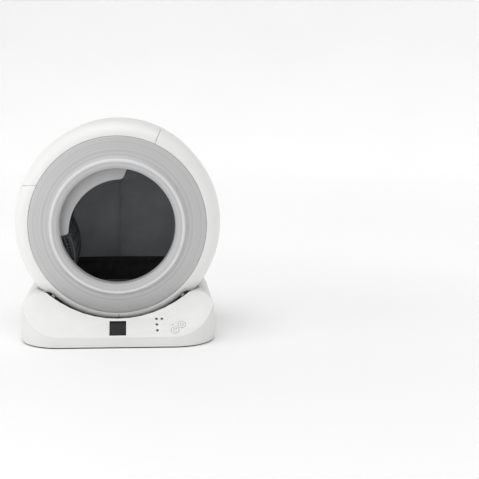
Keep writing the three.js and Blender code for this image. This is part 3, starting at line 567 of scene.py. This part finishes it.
def joined(shapes: Iterable[Shape]) -> Shape:
    """Puts separate shapes into one."""
    corners: list[Point3] = []
    faces: list[list[int]] = []
    for points, sides in shapes:
        faces += [[len(corners) + i for i in side] for side in sides]
        corners += points
    return corners, faces


def tube(rings: Sequence[Sequence[Point3]]) -> Shape:
    """Joins closed rings of points in a row and shuts both ends."""
    n, corners = len(rings[0]), [point for ring in rings for point in ring]
    ends = [list(range(n))[::-1], list(range(len(corners) - n, len(corners)))]
    return corners, grid(len(rings), n, False, True) + ends


def revolve(profile: Sequence[Point2], turns: Sequence[float], loop: bool, closed: bool) -> Shape:
    """Turns a profile about the drum's axis.

    Args:
        profile: [radius, y] points, in an order that puts the outside on the face's front.
        turns: angles in radians, from the right side upward.
        loop: whether the last angle joins the first.
        closed: whether the profile's last point joins its first.

    Returns:
        The shape, in millimetres.
    """
    corners = [around(radius, y, turn) for turn in turns for radius, y in profile]
    return corners, grid(len(turns), len(profile), loop, closed)


def quarter(start: Point2, end: Point2, steps: int) -> list[Point2]:
    """Gives a quarter ellipse that leaves its start across the axis and ends along it."""
    turns = [i / steps * math.pi / 2 for i in range(steps + 1)]
    (r0, y0), (r1, y1) = start, end
    return [(r0 + (r1 - r0) * math.sin(t), y0 + (y1 - y0) * (1 - math.cos(t))) for t in turns]


@dataclass
class DrumShell:
    """The white drum: front shell, rear shell, and the waste bin's cover let into it.

    The index line's turn and half width are in radians, the other angles in degrees.
    """

    radius: float = 265.0
    wall: float = 3.5
    shoulder_y: float = -32.0
    ring_edge_y: float = -92.0
    ring_edge_radius: float = 226.3
    split_y: float = 78.0
    split_gap: float = 0.4
    rear_y: float = 202.0
    rear_shoulder_y: float = 152.0
    rear_face_radius: float = 212.0
    rear_dish: float = 7.0
    rear_rim: Point2 = (1.5, 1.0)
    pole: float = 0.01
    groove_from: float = 84.0
    groove_to: float = 104.0
    groove_radius: float = 248.5
    cover_direction: float = 112.5
    cover_half_angle: float = 47.5
    cover_rear_y: float = 70.0
    left_seam_outer: float = 158.3
    left_seam_inner: float = 153.0
    seam: float = 0.9
    parts: int = 240
    curve_steps: int = 14
    sheet_edge: float = 0.7
    rear_edge: float = 0.8
    mark_angle: float = 270.0
    mark_turn: float = 0.004
    mark_half: float = 0.0026
    mark_proud: float = 0.15
    mark_wall: float = 0.3
    mark_steps: int = 28
    mark_span: tuple[int, int] = (1, 12)

    def shoulder(self, steps: int) -> list[Point2]:
        """Gives the curve from the ring's edge to the drum's full width."""
        start = (self.ring_edge_radius, self.ring_edge_y)
        return quarter(start, (self.radius, self.shoulder_y), steps)

    def outer_line(self, rear: float) -> list[Point2]:
        """Gives the shell's outer line from the ring's edge back to a place on the axis."""
        line = self.shoulder(self.curve_steps)
        middle = self.shoulder_y + (rear - self.shoulder_y) / 2
        return line + [(self.radius, middle), (self.radius, rear)]

    def left_seam(self, radius: float) -> float:
        """Gives the angle in degrees of the cover's level left edge at a radius."""
        share = (radius - self.ring_edge_radius) / (self.radius - self.ring_edge_radius)
        return self.left_seam_inner + (self.left_seam_outer - self.left_seam_inner) * share

    def cover_parts(self) -> int:
        """Gives the steps of a full turn that the cover takes up."""
        return round(self.parts * self.cover_half_angle / 180)

    def sector(self, line: Sequence[Point2], count: int, long_way: bool, gap: float) -> Shape:
        """Turns a line between the cover's two edges.

        Args:
            line: [radius, y] points.
            count: steps between the edges.
            long_way: whether it goes the long way round, where the front shell is.
            gap: degrees left free at each edge.

        Returns:
            The shape, in millimetres.
        """
        low = self.cover_direction - self.cover_half_angle
        corners = []
        for i in range(count + 1):
            for radius, y in line:
                high = self.left_seam(radius)
                start, end = (high, low + 360) if long_way else (low + gap, high - gap)
                turn = math.radians(start + (end - start) * i / count)
                corners.append(around(radius, y, turn))
        return corners, grid(count + 1, len(line), False, False)

    def build_front(self) -> None:
        """Makes the front shell with the cover's place left open."""
        line = self.outer_line(self.cover_rear_y) + [(self.radius, self.split_y)]
        count = self.cover_parts()
        front = self.sector(line, self.parts - count, True, 0.0)
        bridge = self.sector(line[-2:], count, False, 0.0)
        both = joined((front, bridge))
        shell = new_piece("drum_front", *both, "drum", SHELL_ABS, ["drum_front_shell"])
        self.thicken(shell)

    def build_cover(self) -> None:
        """Makes the bin's cover, which fills the open place but for a fine seam."""
        gap = math.degrees(self.seam / self.radius)
        line = self.outer_line(self.cover_rear_y - self.seam)
        sheet = self.sector(line, self.cover_parts(), False, gap)
        cover = new_piece("waste_cover", *sheet, "waste_bin", SHELL_ABS, ["bin_cover"])
        self.thicken(cover)

    def thicken(self, shell: Thing) -> None:
        """Gives a sheet its wall, inward, and softens its edges."""
        add_weld(shell, 2 * WELD_MM)
        add_wall(shell, self.wall, -1.0).use_even_offset = True
        soften(shell, self.sheet_edge)

    def build_rear(self) -> None:
        """Makes the rear shell with the ring gear's groove and the dished rear face."""
        wall, face, rim = self.wall, self.rear_face_radius, self.rear_rim
        dish = self.rear_y - self.rear_dish
        step = self.split_y + self.split_gap
        shoulder, steps = self.rear_shoulder_y, self.curve_steps
        outer, inside = (
            quarter((face, self.rear_y - inset), (self.radius - inset, shoulder), steps)
            for inset in (0, wall)
        )
        line = [
            (self.pole, dish),
            (face - self.rear_dish, dish),
            (face - self.rear_dish + rim[0], self.rear_y - rim[1]),
            *outer,
            (self.radius, self.groove_to),
            (self.groove_radius, self.groove_to),
            (self.groove_radius, self.groove_from),
            (self.radius, self.groove_from),
            (self.radius, step),
            (self.groove_radius - wall, step),
            (self.groove_radius - wall, self.groove_to + wall),
            (self.radius - wall, self.groove_to + wall),
            *inside[::-1],
            (face - rim[1], dish - wall),
            (self.pole, dish - wall),
        ]
        shape = revolve(line[::-1], full_turn(self.parts), True, False)
        rear = new_piece("drum_rear", *shape, "drum", SHELL_ABS, ["drum_rear_shell"])
        soften(rear, self.rear_edge)

    def build_mark(self) -> None:
        """Makes the short index line at the bottom of the shoulder."""
        line = self.shoulder(self.mark_steps)[slice(*self.mark_span)]
        part = [(r + self.mark_proud, y - self.mark_proud) for r, y in line]
        middle = math.radians(self.mark_angle) + self.mark_turn
        turns = (middle - self.mark_half, middle, middle + self.mark_half)
        mark = new_piece("drum_index_line", *revolve(part, turns, False, False), "drum", KEY_INK)
        add_wall(mark, self.mark_wall, -1.0)

    def build(self) -> None:
        """Makes every piece of the drum's outside."""
        self.build_front()
        self.build_cover()
        self.build_rear()
        self.build_mark()


@dataclass
class FrontRing:
    """The grey ring round the entry, with its raised collar."""

    edge_radius: float = 225.4
    edge_y: float = -91.6
    band_radius: float = 178.0
    band_y: float = -101.5
    ridge_radius: float = 163.0
    ridge_y: float = -122.0
    hole_radius: float = 146.0
    lip_y: float = -118.0
    throat_y: float = -84.3
    wall: float = 3.5
    edge_drop: Point2 = (1.2, 1.0)
    band_crown: float = 1.6
    band_steps: int = 8
    ridge_foot: Point2 = (8.5, 7.0)
    ridge_top: float = 2.0
    lip: Point2 = (6.0, 0.5)
    lip_turn: float = 5.0
    back_ease: Point2 = (3.0, 2.0)
    bend_reach: float = 7.0
    bend_steps: int = 5
    parts: int = 240
    bead_radius: float = 166.2
    bead_y: float = -117.5
    bead_size: float = 4.6
    bead_parts: int = 16

    def profile(self) -> list[Point2]:
        """Gives the ring's closed section, front side first."""
        r0, y0 = self.edge_radius - self.edge_drop[0], self.edge_y - self.edge_drop[1]
        band = []
        for t in even(0.0, 1.0, self.band_steps):
            radius, y = r0 + (self.band_radius - r0) * t, y0 + (self.band_y - y0) * t
            band.append((radius, y - self.band_crown * math.sin(math.pi * t)))
        front = rounded(
            [
                *band[-2:],
                (self.ridge_radius + self.ridge_foot[0], self.ridge_y + self.ridge_foot[1]),
                (self.ridge_radius + self.ridge_top, self.ridge_y),
                (self.hole_radius + self.lip[0], self.lip_y - self.lip[1]),
                (self.hole_radius, self.lip_y + self.lip_turn),
                (self.hole_radius, self.throat_y),
            ],
            self.bend_reach,
            self.bend_steps,
        )
        inside, ease = self.hole_radius + self.wall, self.wall + self.back_ease[1]
        back = [
            (inside, self.throat_y),
            (inside, self.lip_y + self.wall + self.back_ease[0]),
            (self.ridge_radius - self.ridge_top, self.ridge_y + ease),
            (self.band_radius, self.band_y + ease),
            (self.edge_radius, self.edge_y + self.wall),
        ]
        return [(self.edge_radius, self.edge_y), *band[:-2], *front, *back]

    def build(self) -> None:
        """Makes the ring and the bead along its rolled rim."""
        turns = full_turn(self.parts)
        shape = revolve(self.profile(), turns, True, True)
        soften(new_piece("entry_ring", *shape, "drum", RING_ABS, ["front_ring"]), 0.0)
        centre = (self.bead_radius, self.bead_y)
        bead = circle(centre, self.bead_size, full_turn(self.bead_parts))
        shape = revolve(bead, turns, True, True)
        # the bead's paler grey is a painted highlight
        soften(new_piece("entry_bead", *shape, "drum", BEAD_PAINTED_HIGHLIGHT), 0.0)


@dataclass
class Sieve:
    """The fine mesh that fills the moulded grille."""

    centre_x: float = -260.0
    centre_z: float = -85.0
    radius: float = 149.5
    thickness: float = 1.0
    pitch: float = 8.4
    bar: float = 2.6
    from_angle: float = -40.0
    to_angle: float = 24.0
    from_y: float = -68.0
    to_y: float = 170.0
    screen_y: float = -69.3
    screen_lap: float = 2.6
    screen_low: float = -104.0
    screen_top: float = -17.0
    screen_radius: float = 172.0
    screen_width: float = 46.0

    def build(self) -> None:
        """Makes the curved sheet, and the flat screen that closes the passage in front of it."""
        reach = math.radians(self.to_angle - self.from_angle) * self.radius
        self.sheet("sieve_mesh", reach, self.to_y - self.from_y, self.on_sheet)
        high = self.screen_top - self.screen_low
        self.sheet("sieve_screen", high, self.screen_width, self.on_screen)

    def on_sheet(self, v: float, share: float) -> Point3:
        """Puts a place round the curved sheet and along the axis into the part's frame."""
        turn = math.radians(self.from_angle) + v / self.radius
        x = self.centre_x + self.radius * math.cos(turn)
        z = AXIS_HEIGHT + self.centre_z + self.radius * math.sin(turn)
        return x, self.from_y + (self.to_y - self.from_y) * share, z

    def on_screen(self, v: float, share: float) -> Point3:
        """Puts a place up the flat screen and across it into the part's frame."""
        z = self.screen_low + v
        right = self.centre_x + math.sqrt(self.radius**2 - (z - self.centre_z) ** 2)
        right += self.screen_lap
        left = -math.sqrt(self.screen_radius**2 - z**2)
        return left + (right - left) * share, self.screen_y, AXIS_HEIGHT + z

    def sheet(
        self, name: str, height: float, width: float, place: Callable[[float, float], Point3]
    ) -> None:
        """Makes a thin sheet with even square holes.

        Args:
            name: the piece's name.
            height: its length across the rows in millimetres.
            width: its usual length across the columns in millimetres.
            place: gives the point at a height in millimetres and a share of the width.
        """
        stops_v = self.stops(int(height / self.pitch), height)
        stops_u = self.stops(int(width / self.pitch), width)
        corners = [place(v, u / width) for v in stops_v for u in stops_u]
        across = len(stops_u) - 1
        faces = [
            face
            for i, face in enumerate(grid(len(stops_v), len(stops_u), False, False))
            if i // across % 2 == 0 or i % across % 2 == 0
        ]
        mesh = new_piece(name, corners, faces, "drum", SIEVE_NYLON)
        add_wall(mesh, self.thickness, 0.0)
        soften(mesh, 0.0)

    def stops(self, count: int, reach: float) -> list[float]:
        """Gives the places of bar edges along one side, bar and hole in turn."""
        pitch = reach / count
        marks = []
        for i in range(count):
            marks += [i * pitch, i * pitch + self.bar]
        return marks + [reach]


@dataclass
class HousingFascia:
    """The light grey crescent on the front of the bin's housing, seen through the entry."""

    outer_radius: float = 150.5
    inner_radius: float = 135.2
    inner_centre: Point2 = (11.46, -17.98)
    front_y: float = -82.6
    back_y: float = -81.0
    lean: float = 11.0
    left_angle: float = 190.5
    right_angle: float = 79.5
    left_lean: float = -9.0
    right_lean: float = 9.5
    corner: float = 15.0
    corner_share: float = 0.8
    corner_steps: int = 8
    edge_steps: int = 60
    across: int = 8
    edge: float = 0.5

    def inner_edge(self) -> list[Point2]:
        """Gives the crescent's inner edge with both rounded ends, as (angle, radius) points."""
        first = math.radians(self.right_angle + self.right_lean)
        last = math.radians(self.left_angle + self.left_lean)
        turns = even(first, last, self.edge_steps)
        line = [Vector(p) for p in circle(self.inner_centre, self.inner_radius, turns)]
        ends = []
        for run, angle in ((line, self.right_angle), (line[::-1], self.left_angle)):
            rim = Vector(circle((0, 0), self.outer_radius, [math.radians(angle)])[0])
            kept = next(i for i, p in enumerate(run) if (p - run[0]).length > self.corner / 2)
            side = rim - run[0]
            reach = min(self.corner / 2, side.length * self.corner_share)
            start = run[0] + side.normalized() * reach
            ends.append(([rim, *bend(start, run[0], run[kept], self.corner_steps)], kept))
        (right, kept_right), (left, kept_left) = ends
        middle = line[kept_right + 1 : len(line) - kept_left - 1]
        points = [*right, *middle, *left[::-1]]
        return sorted((math.atan2(p.y, p.x) % (2 * math.pi), p.length) for p in points)

    def build(self) -> None:
        """Makes the fascia, whose face leans forward from the rim to its inner edge."""
        edge = self.inner_edge()
        width = self.outer_radius - min(radius for _, radius in edge)
        corners: list[Point3] = []
        for angle, radius in edge:
            for r in even(self.outer_radius, radius, self.across):
                share = (self.outer_radius - r) / width
                y = self.front_y - self.lean * math.sin(share * math.pi / 2)
                corners.append(around(r, y, angle))
            corners.append(around(r, self.back_y, angle))
            corners.append(around(self.outer_radius, self.back_y, angle))
        faces = grid(len(edge), len(corners) // len(edge), False, True)
        plate = new_piece("housing_fascia", corners, faces, "drum", HOUSING_ABS)
        soften(plate, self.edge)


@dataclass
class CradleShadeStrip:
    """Black strip in the gap between the base and the drum's shoulder, a painted shade."""

    front_y: float = -99.0
    back_y: float = -96.0
    inner_radius: float = 237.0
    side_radius: float = 240.0
    outer_radius: float = 252.5
    half_angle: float = 47.6
    taper_angle: float = 43.5
    side_angle: float = 30.0
    tail: float = 3.0
    chamfer: float = 0.8
    parts: int = 96
    clip_angle: float = 42.6
    clip_half: float = 1.0
    clip_steps: int = 4
    clip_edge: float = 0.3
    clip_section: tuple[Point2, ...] = (
        (240.8, -100.4), (244.8, -100.4), (244.8, -98.9), (240.8, -98.9)
    )

    def build(self) -> None:
        """Makes the strip as a flat arc about the drum's axis."""
        rings = []
        for i in range(self.parts + 1):
            angle = self.half_angle * (2 * i / self.parts - 1)
            ending = (abs(angle) - self.taper_angle) / (self.half_angle - self.taper_angle)
            aside = min(1.0, abs(angle) / self.side_angle)
            inner = self.inner_radius + (self.side_radius - self.inner_radius) * aside
            inner += (self.outer_radius - self.tail - inner) * max(0.0, ending) ** 2
            section = (
                (inner, self.front_y + self.chamfer),
                (inner + self.chamfer, self.front_y),
                (self.outer_radius, self.front_y),
                (self.outer_radius, self.back_y),
                (inner, self.back_y),
            )
            turn = math.radians(270 + angle)
            rings.append([around(radius, y, turn) for radius, y in section])
        # painted shade: a black strip stands for the shadow in the gap
        shade_strip = new_piece("cradle_painted_shade", *tube(rings), "base", GAP_SHADE_BLACK)
        soften(shade_strip, 0.0)
        self.build_clips()

    def build_clips(self) -> None:
        """Makes the two small clips that hold the strip near its ends."""
        parts = []
        for middle in (270 - self.clip_angle, 270 + self.clip_angle):
            turns = sweep(middle - self.clip_half, middle + self.clip_half, self.clip_steps)
            parts.append(tube([[around(r, y, t) for r, y in self.clip_section] for t in turns]))
        clips = new_piece("shade_strip_clips", *joined(parts), "base", HOUSING_ABS)
        soften(clips, self.clip_edge)


@dataclass
class BaseShadowSkirt:
    """Black strip round the base's foot: painted shadow in the gap between the base and the floor.
    """

    half_width: float = 245.0
    half_depth: float = 205.0
    front_corner: float = 104.0
    rear_corner: float = 70.0
    inset: float = 2.2
    wall: float = 2.0
    low: float = 0.3
    high: float = 3.0
    edge: float = 0.3
    corner_steps: int = 16

    def outline(self, inset: float) -> list[Point2]:
        """Gives the base's plan, drawn in by an inset, from its front right corner round."""
        points: list[Point2] = []
        for sx, sy, start in ((1, -1, 270), (1, 1, 0), (-1, 1, 90), (-1, -1, 180)):
            radius = self.front_corner if sy < 0 else self.rear_corner
            centre = (sx * (self.half_width - radius), sy * (self.half_depth - radius))
            points += circle(centre, radius - inset, sweep(start, start + 90, self.corner_steps))
        return points

    def build(self) -> None:
        """Makes the skirt as a thin closed wall."""
        outer, inner = self.outline(self.inset), self.outline(self.inset + self.wall)
        rows = ((outer, self.low), (outer, self.high), (inner, self.high), (inner, self.low))
        corners = [(x, y, z) for line, z in rows for x, y in line]
        faces = grid(len(rows), len(outer), True, True)
        # painted shadow: a black strip stands for the shadow under the base
        skirt = new_piece("base_painted_shadow", corners, faces, "base", TREAD_RUBBER)
        soften(skirt, self.edge)


@dataclass
class ControlPanel:
    """Display, lights and keys on the sloped top of the base."""

    slope: float = 42.0
    half_depth: float = 205.0
    front_wall: float = 28.0
    display_width: float = 41.0
    display_length: float = 43.0
    display_start: float = 5.5
    display_border: float = 2.6
    key_radius: float = 8.8
    key_proud: float = 0.5
    outline_gap: float = 0.25
    outline_reach: float = 0.95
    outline_heights: Point2 = (-0.05, 0.12)
    mark_radii: Point2 = (3.2, 4.2)
    mark_depth: float = 0.1
    bar_width: float = 1.0
    arc_steps: int = 40
    keys: tuple[tuple[str, Point2, Point2, tuple[Point2, Point2]], ...] = (
        ("power_key", (159.0, 36.0), (125.0, 415.0), ((159.0, 37.2), (159.0, 41.2))),
        ("clean_key", (142.0, 19.5), (40.0, 320.0), ((145.2, 24.2), (145.2, 20.9))),
    )

    def on_slope(self, x: float, along: float, up: float) -> Point3:
        """Puts a place given across, up the slope and above it into the part's frame."""
        lean = math.radians(self.slope)
        y = -self.half_depth + along * math.cos(lean) - up * math.sin(lean)
        return x, y, self.front_wall + along * math.sin(lean) + up * math.cos(lean)

    def raised(
        self, name: str, outlines: Sequence[Sequence[Point2]], body: str, low: float, high: float
    ) -> None:
        """Makes thin printed shapes, each a closed strip between two lines of equal length.

        Args:
            name: the piece's name.
            outlines: for each strip, its outer points and then its inner points.
            body: the CAD body it rides on.
            low: the underside's height over the slope.
            high: the top's height over the slope.
        """
        parts = []
        for outline in outlines:
            n = len(outline) // 2
            rings = [
                [self.on_slope(*inner, low), self.on_slope(*inner, high)]
                + [self.on_slope(*outer, high), self.on_slope(*outer, low)]
                for outer, inner in zip(outline[:n], outline[n:])
            ]
            parts.append(tube(rings))
        new_piece(name, *joined(parts), body, KEY_INK)

    def arc(self, centre: Point2, radii: Point2, start: float, end: float) -> list[Point2]:
        """Gives a strip along an arc between two radii, its outer points first."""
        turns = sweep(start, end, self.arc_steps)
        return circle(centre, radii[1], turns) + circle(centre, radii[0], turns)

    def bar(self, start: Point2, end: Point2) -> list[Point2]:
        """Gives a straight strip between two places, one side first."""
        a, b = Vector(start), Vector(end)
        way = (b - a).normalized()
        side = Vector((-way.y, way.x)) * self.bar_width / 2
        return [(p.x, p.y) for p in (a + side, b + side, a - side, b - side)]

    def build(self) -> None:
        """Makes the printed outlines round the keys and their plain marks."""
        radii = (self.key_radius + self.outline_gap, self.key_radius + self.outline_reach)
        for key, place, _, _ in self.keys:
            outline = self.arc(place, radii, 0, 360)
            self.raised(f"{key}_outline", [outline], "base", *self.outline_heights)
        low, high = self.key_proud - self.mark_depth, self.key_proud + self.mark_depth
        for key, place, turns, line in self.keys:
            shapes = [self.arc(place, self.mark_radii, *turns), self.bar(*line)]
            self.raised(f"{key}_mark", shapes, f"{key}_cap", low, high)


@dataclass
class LinerWall:
    """The liner's raised rear rim, and the moulded level line on it."""

    half_width: float = 186.0
    front_y: float = 178.9
    back_y: float = 181.4
    low: float = -145.0
    high: float = -127.5
    crown: float = 2.5
    line_z: float = -148.0
    line_height: float = 1.6
    line_spans: tuple[Point2, ...] = ((-51.0, -18.0), (11.0, 48.0))
    line_proud: float = 0.7
    line_sunk: float = 0.2
    rim_steps: int = 48
    rim_edge: float = 0.4

    def build(self) -> None:
        """Makes the rim with its crowned top, and the line in two raised strips."""
        xs = even(-self.half_width, self.half_width, self.rim_steps)
        tops = [self.high + self.crown * (1 - (x / self.half_width) ** 2) for x in xs]
        line = list(zip(xs, tops)) + [(self.half_width, self.low), (-self.half_width, self.low)]
        rim = self.plate("liner_rear_rim", [line], self.front_y, self.back_y, LINER_RUBBER)
        soften(rim, self.rim_edge)
        low, top = self.line_z, self.line_z + self.line_height
        strips = [[(x0, top), (x1, top), (x1, low), (x0, low)] for x0, x1 in self.line_spans]
        front, back = self.front_y - self.line_proud, self.front_y + self.line_sunk
        self.plate("liner_level_lines", strips, front, back, TREAD_RUBBER)

    def plate(
        self,
        name: str,
        outlines: Sequence[Sequence[Point2]],
        front: float,
        back: float,
        finish: Finish,
    ) -> Thing:
        """Makes flat plates that face the entry.

        Args:
            name: the piece's name.
            outlines: closed outlines in x and height over the axis, clockwise from the front.
            front: the front face's place along the axis.
            back: the rear face's place along the axis.
            finish: the piece's finish.

        Returns:
            The new piece.
        """
        parts = [
            tube([[(x, y, AXIS_HEIGHT + z) for x, z in outline] for y in (front, back)])
            for outline in outlines
        ]
        return new_piece(name, *joined(parts), "drum", finish)


@dataclass
class CarriedNodes:
    """The CAD nodes that stay, each with its finish and the width of its rounded edges."""

    plans: tuple[tuple[str, Finish, float], ...] = (
        ("base_top_shell", BASE_ABS, 1.2),
        ("base_bottom_pan", HOUSING_ABS, 0.6),
        ("ring_gear", GEAR_NYLON, 0.0),
        ("chamber_", CHAMBER_PP, 0.25),
        ("litter_liner", LINER_RUBBER, 1.2),
        ("sieve", SIEVE_NYLON, 0.5),
        ("bin_housing", HOUSING_PP, 1.0),
        ("waste_tray", TRAY_PP, 0.6),
        ("display_window", DISPLAY_ACRYLIC, 0.3),
        ("power_key_switch", BLACK_NYLON, 0.2),
        ("clean_key_switch", BLACK_NYLON, 0.2),
        ("power_key", SHELL_ABS, 0.4),
        ("clean_key", SHELL_ABS, 0.4),
        ("status_dot", LIGHT_ACRYLIC, 0.0),
        ("indicator_", LIGHT_ACRYLIC, 0.2),
        ("control_board", BOARD_LAMINATE, 0.0),
        ("drive_pinion", PINION_ACETAL, 0.0),
        ("pinion_shaft", GROUND_STEEL, 0.3),
        ("gearbox", BLACK_NYLON, 0.8),
        ("motor", GROUND_STEEL, 0.8),
        ("power_inlet", BLACK_NYLON, 0.4),
        ("foot_", TREAD_RUBBER, 0.6),
        ("load_cell_", GROUND_STEEL, 0.4),
        ("roller_bracket_", BASE_ABS, 0.6),
        ("roller_", TREAD_RUBBER, 0.5),
        ("axle_", GROUND_STEEL, 0.3),
    )

    def plan_for(self, name: str) -> tuple[Finish, float]:
        """Gives the finish and edge of the first entry that a node's name starts with."""
        return next((finish, edge) for start, finish, edge in self.plans if name.startswith(start))

    def build(self, nodes: dict[str, Thing]) -> None:
        """Dresses and softens every node that is still shown.

        Args:
            nodes: the CAD nodes by name.
        """
        for name, node in sorted(nodes.items()):
            if node.hide_render:
                continue
            finish, edge = self.plan_for(name)
            dress(node, finish)
            soften(node, edge, from_cad=True)
            LOG.info("%s: kept from the CAD, %s", name, finish.name)


@dataclass
class Studio:
    """Pale floor, soft lights and the photograph's camera.

    The floor, the lights and the camera's clip are in metres, its distance in millimetres.
    """

    lens: float = 74.3
    sensor: float = 36.0
    distance: float = 2600.0
    elevation: float = 7.54
    azimuth: float = 1.3
    shift: float = 0.1
    aim_pixel: Point2 = (118.3, 220.7)
    clip: Point2 = (0.05, 60.0)
    floor_radius: float = 5.0
    floor_parts: int = 72
    rise_radius: float = 3.0
    rise_angle: float = 50.0
    rise_steps: int = 12
    rim: Point2 = (1.5, 1.8)
    near_glow: Point2 = (0.3, 0.0)
    far_glow: Point2 = (1.5, 0.09)
    room_light: float = 0.35
    boxes: tuple[tuple[str, Point3, float, float], ...] = (
        ("side_box", (-2.6, -0.8, 1.6), 1.6, 13.0),
        ("front_box", (-1.5, -2.6, 0.9), 1.0, 5.5),
    )
    box_aim: Point3 = (0.0, 0.0, 0.28)
    sky_light: float = 1.6
    sky_angle: float = 60.0
    sky_way: Point3 = (0.05, 0.1, -1.0)

    def build_floor(self) -> None:
        """Makes a round floor that rises on all sides, so that every view has one pale ground."""
        rise = sweep(-90, self.rise_angle - 90, self.rise_steps)
        line = circle((self.floor_radius, self.rise_radius), self.rise_radius, rise)
        line.append((line[-1][0] + self.rim[0], line[-1][1] + self.rim[1]))
        turns = full_turn(self.floor_parts)
        corners = [(x, y, z) for r, z in line for x, y in circle((0, 0), r, turns)]
        faces = [list(range(len(turns)))]
        faces += [face[::-1] for face in grid(len(line), len(turns), False, True)]
        mesh = bpy.data.meshes.new("studio_floor")
        mesh.from_pydata(corners, [], faces)
        mesh.shade_smooth()
        floor = add_object("studio_floor", mesh)
        paint = surface(FLOOR_PAINT)
        tree = paint.node_tree
        shader = tree.nodes["Principled BSDF"]
        shader.inputs["Emission Color"].default_value = linear("#ffffff")
        place = add_node(tree, "ShaderNodeTexCoord")
        reach = add_node(
            tree, "ShaderNodeVectorMath", {"operation": "LENGTH"}, {0: place.outputs["Object"]}
        )
        grade = add_node(
            tree,
            "ShaderNodeMapRange",
            {1: self.near_glow[0], 2: self.far_glow[0], 3: self.near_glow[1], 4: self.far_glow[1]},
            {0: reach.outputs["Value"]},
        )
        tree.links.new(grade.outputs[0], shader.inputs["Emission Strength"])
        mesh.materials.append(paint)

    def add_light(self, name: str, kind: str, power: float, way: Vector) -> Thing:
        """Adds a light that shines along a direction.

        Args:
            name: the light's name.
            kind: AREA for a soft box, SUN for the sky.
            power: watts for a box, and watts per square metre for the sky.
            way: the direction that it shines in.

        Returns:
            The object that holds the light.
        """
        light = bpy.data.lights.new(name, kind)
        light.energy = power
        holder = add_object(name, light)
        holder.rotation_euler = way.to_track_quat("-Z", "Y").to_euler()
        return holder

    def build_light(self) -> None:
        """Sets the even room light, the two soft boxes and the wide skylight."""
        world = bpy.data.worlds.new("pale_room")
        world.use_nodes = True
        tree = world.node_tree
        tree.nodes.clear()
        settings = {"Color": linear("#ffffff"), "Strength": self.room_light}
        room = add_node(tree, "ShaderNodeBackground", settings)
        add_node(tree, "ShaderNodeOutputWorld", {}, {"Surface": room.outputs[0]})
        bpy.context.scene.world = world
        for name, place, side, power in self.boxes:
            box = self.add_light(name, "AREA", power, Vector(self.box_aim) - Vector(place))
            box.location = place
            box.data.shape = "SQUARE"
            box.data.size = side
        sky = self.add_light("skylight", "SUN", self.sky_light, Vector(self.sky_way))
        sky.data.angle = math.radians(self.sky_angle)
        bpy.context.scene.view_settings.view_transform = "Standard"
        bpy.context.scene.view_settings.look = "None"

    def build_camera(self) -> None:
        """Places the camera and turns it, level, so that the drum's middle falls on its pixel."""
        data = bpy.data.cameras.new("camera")
        data.sensor_width, data.lens, data.shift_x = self.sensor, self.lens, self.shift
        data.clip_start, data.clip_end = self.clip
        camera = add_object("camera", data)
        bpy.context.scene.camera = camera
        up, side = math.radians(self.elevation), math.radians(self.azimuth)
        flat = math.cos(up)
        back = Vector((flat * math.sin(side), -flat * math.cos(side), math.sin(up)))
        camera.location = (Vector((0, 0, AXIS_HEIGHT)) + back * self.distance) * MM
        frame = self.sensor / self.lens
        right = (self.aim_pixel[0] / PHOTO_SIDE - 0.5 + self.shift) * frame
        above = (0.5 - self.aim_pixel[1] / PHOTO_SIDE) * frame
        rise = -back.z * math.sqrt(1 + right**2 / (1 + above**2))
        pitch = math.asin(rise) - math.atan(above)
        ahead = math.cos(pitch) - above * math.sin(pitch)
        yaw = -side - math.atan2(right, ahead)
        camera.rotation_euler = (math.pi / 2 + pitch, 0, -yaw)

    def build(self) -> None:
        """Makes the floor, the lights and the camera."""
        self.build_floor()
        self.build_light()
        self.build_camera()


def main() -> None:
    """Builds the studio and every sub-assembly."""
    logging.basicConfig(level=logging.INFO, format="%(message)s")
    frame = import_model()
    drum = (DrumShell, FrontRing, Sieve, HousingFascia)
    base = (CradleShadeStrip, BaseShadowSkirt, ControlPanel)
    for maker in (Studio, *drum, *base, LinerWall):
        maker().build()
    CarriedNodes().build(frame["nodes"])
    bpy.context.view_layer.update()


if __name__ == "__main__":
    main()
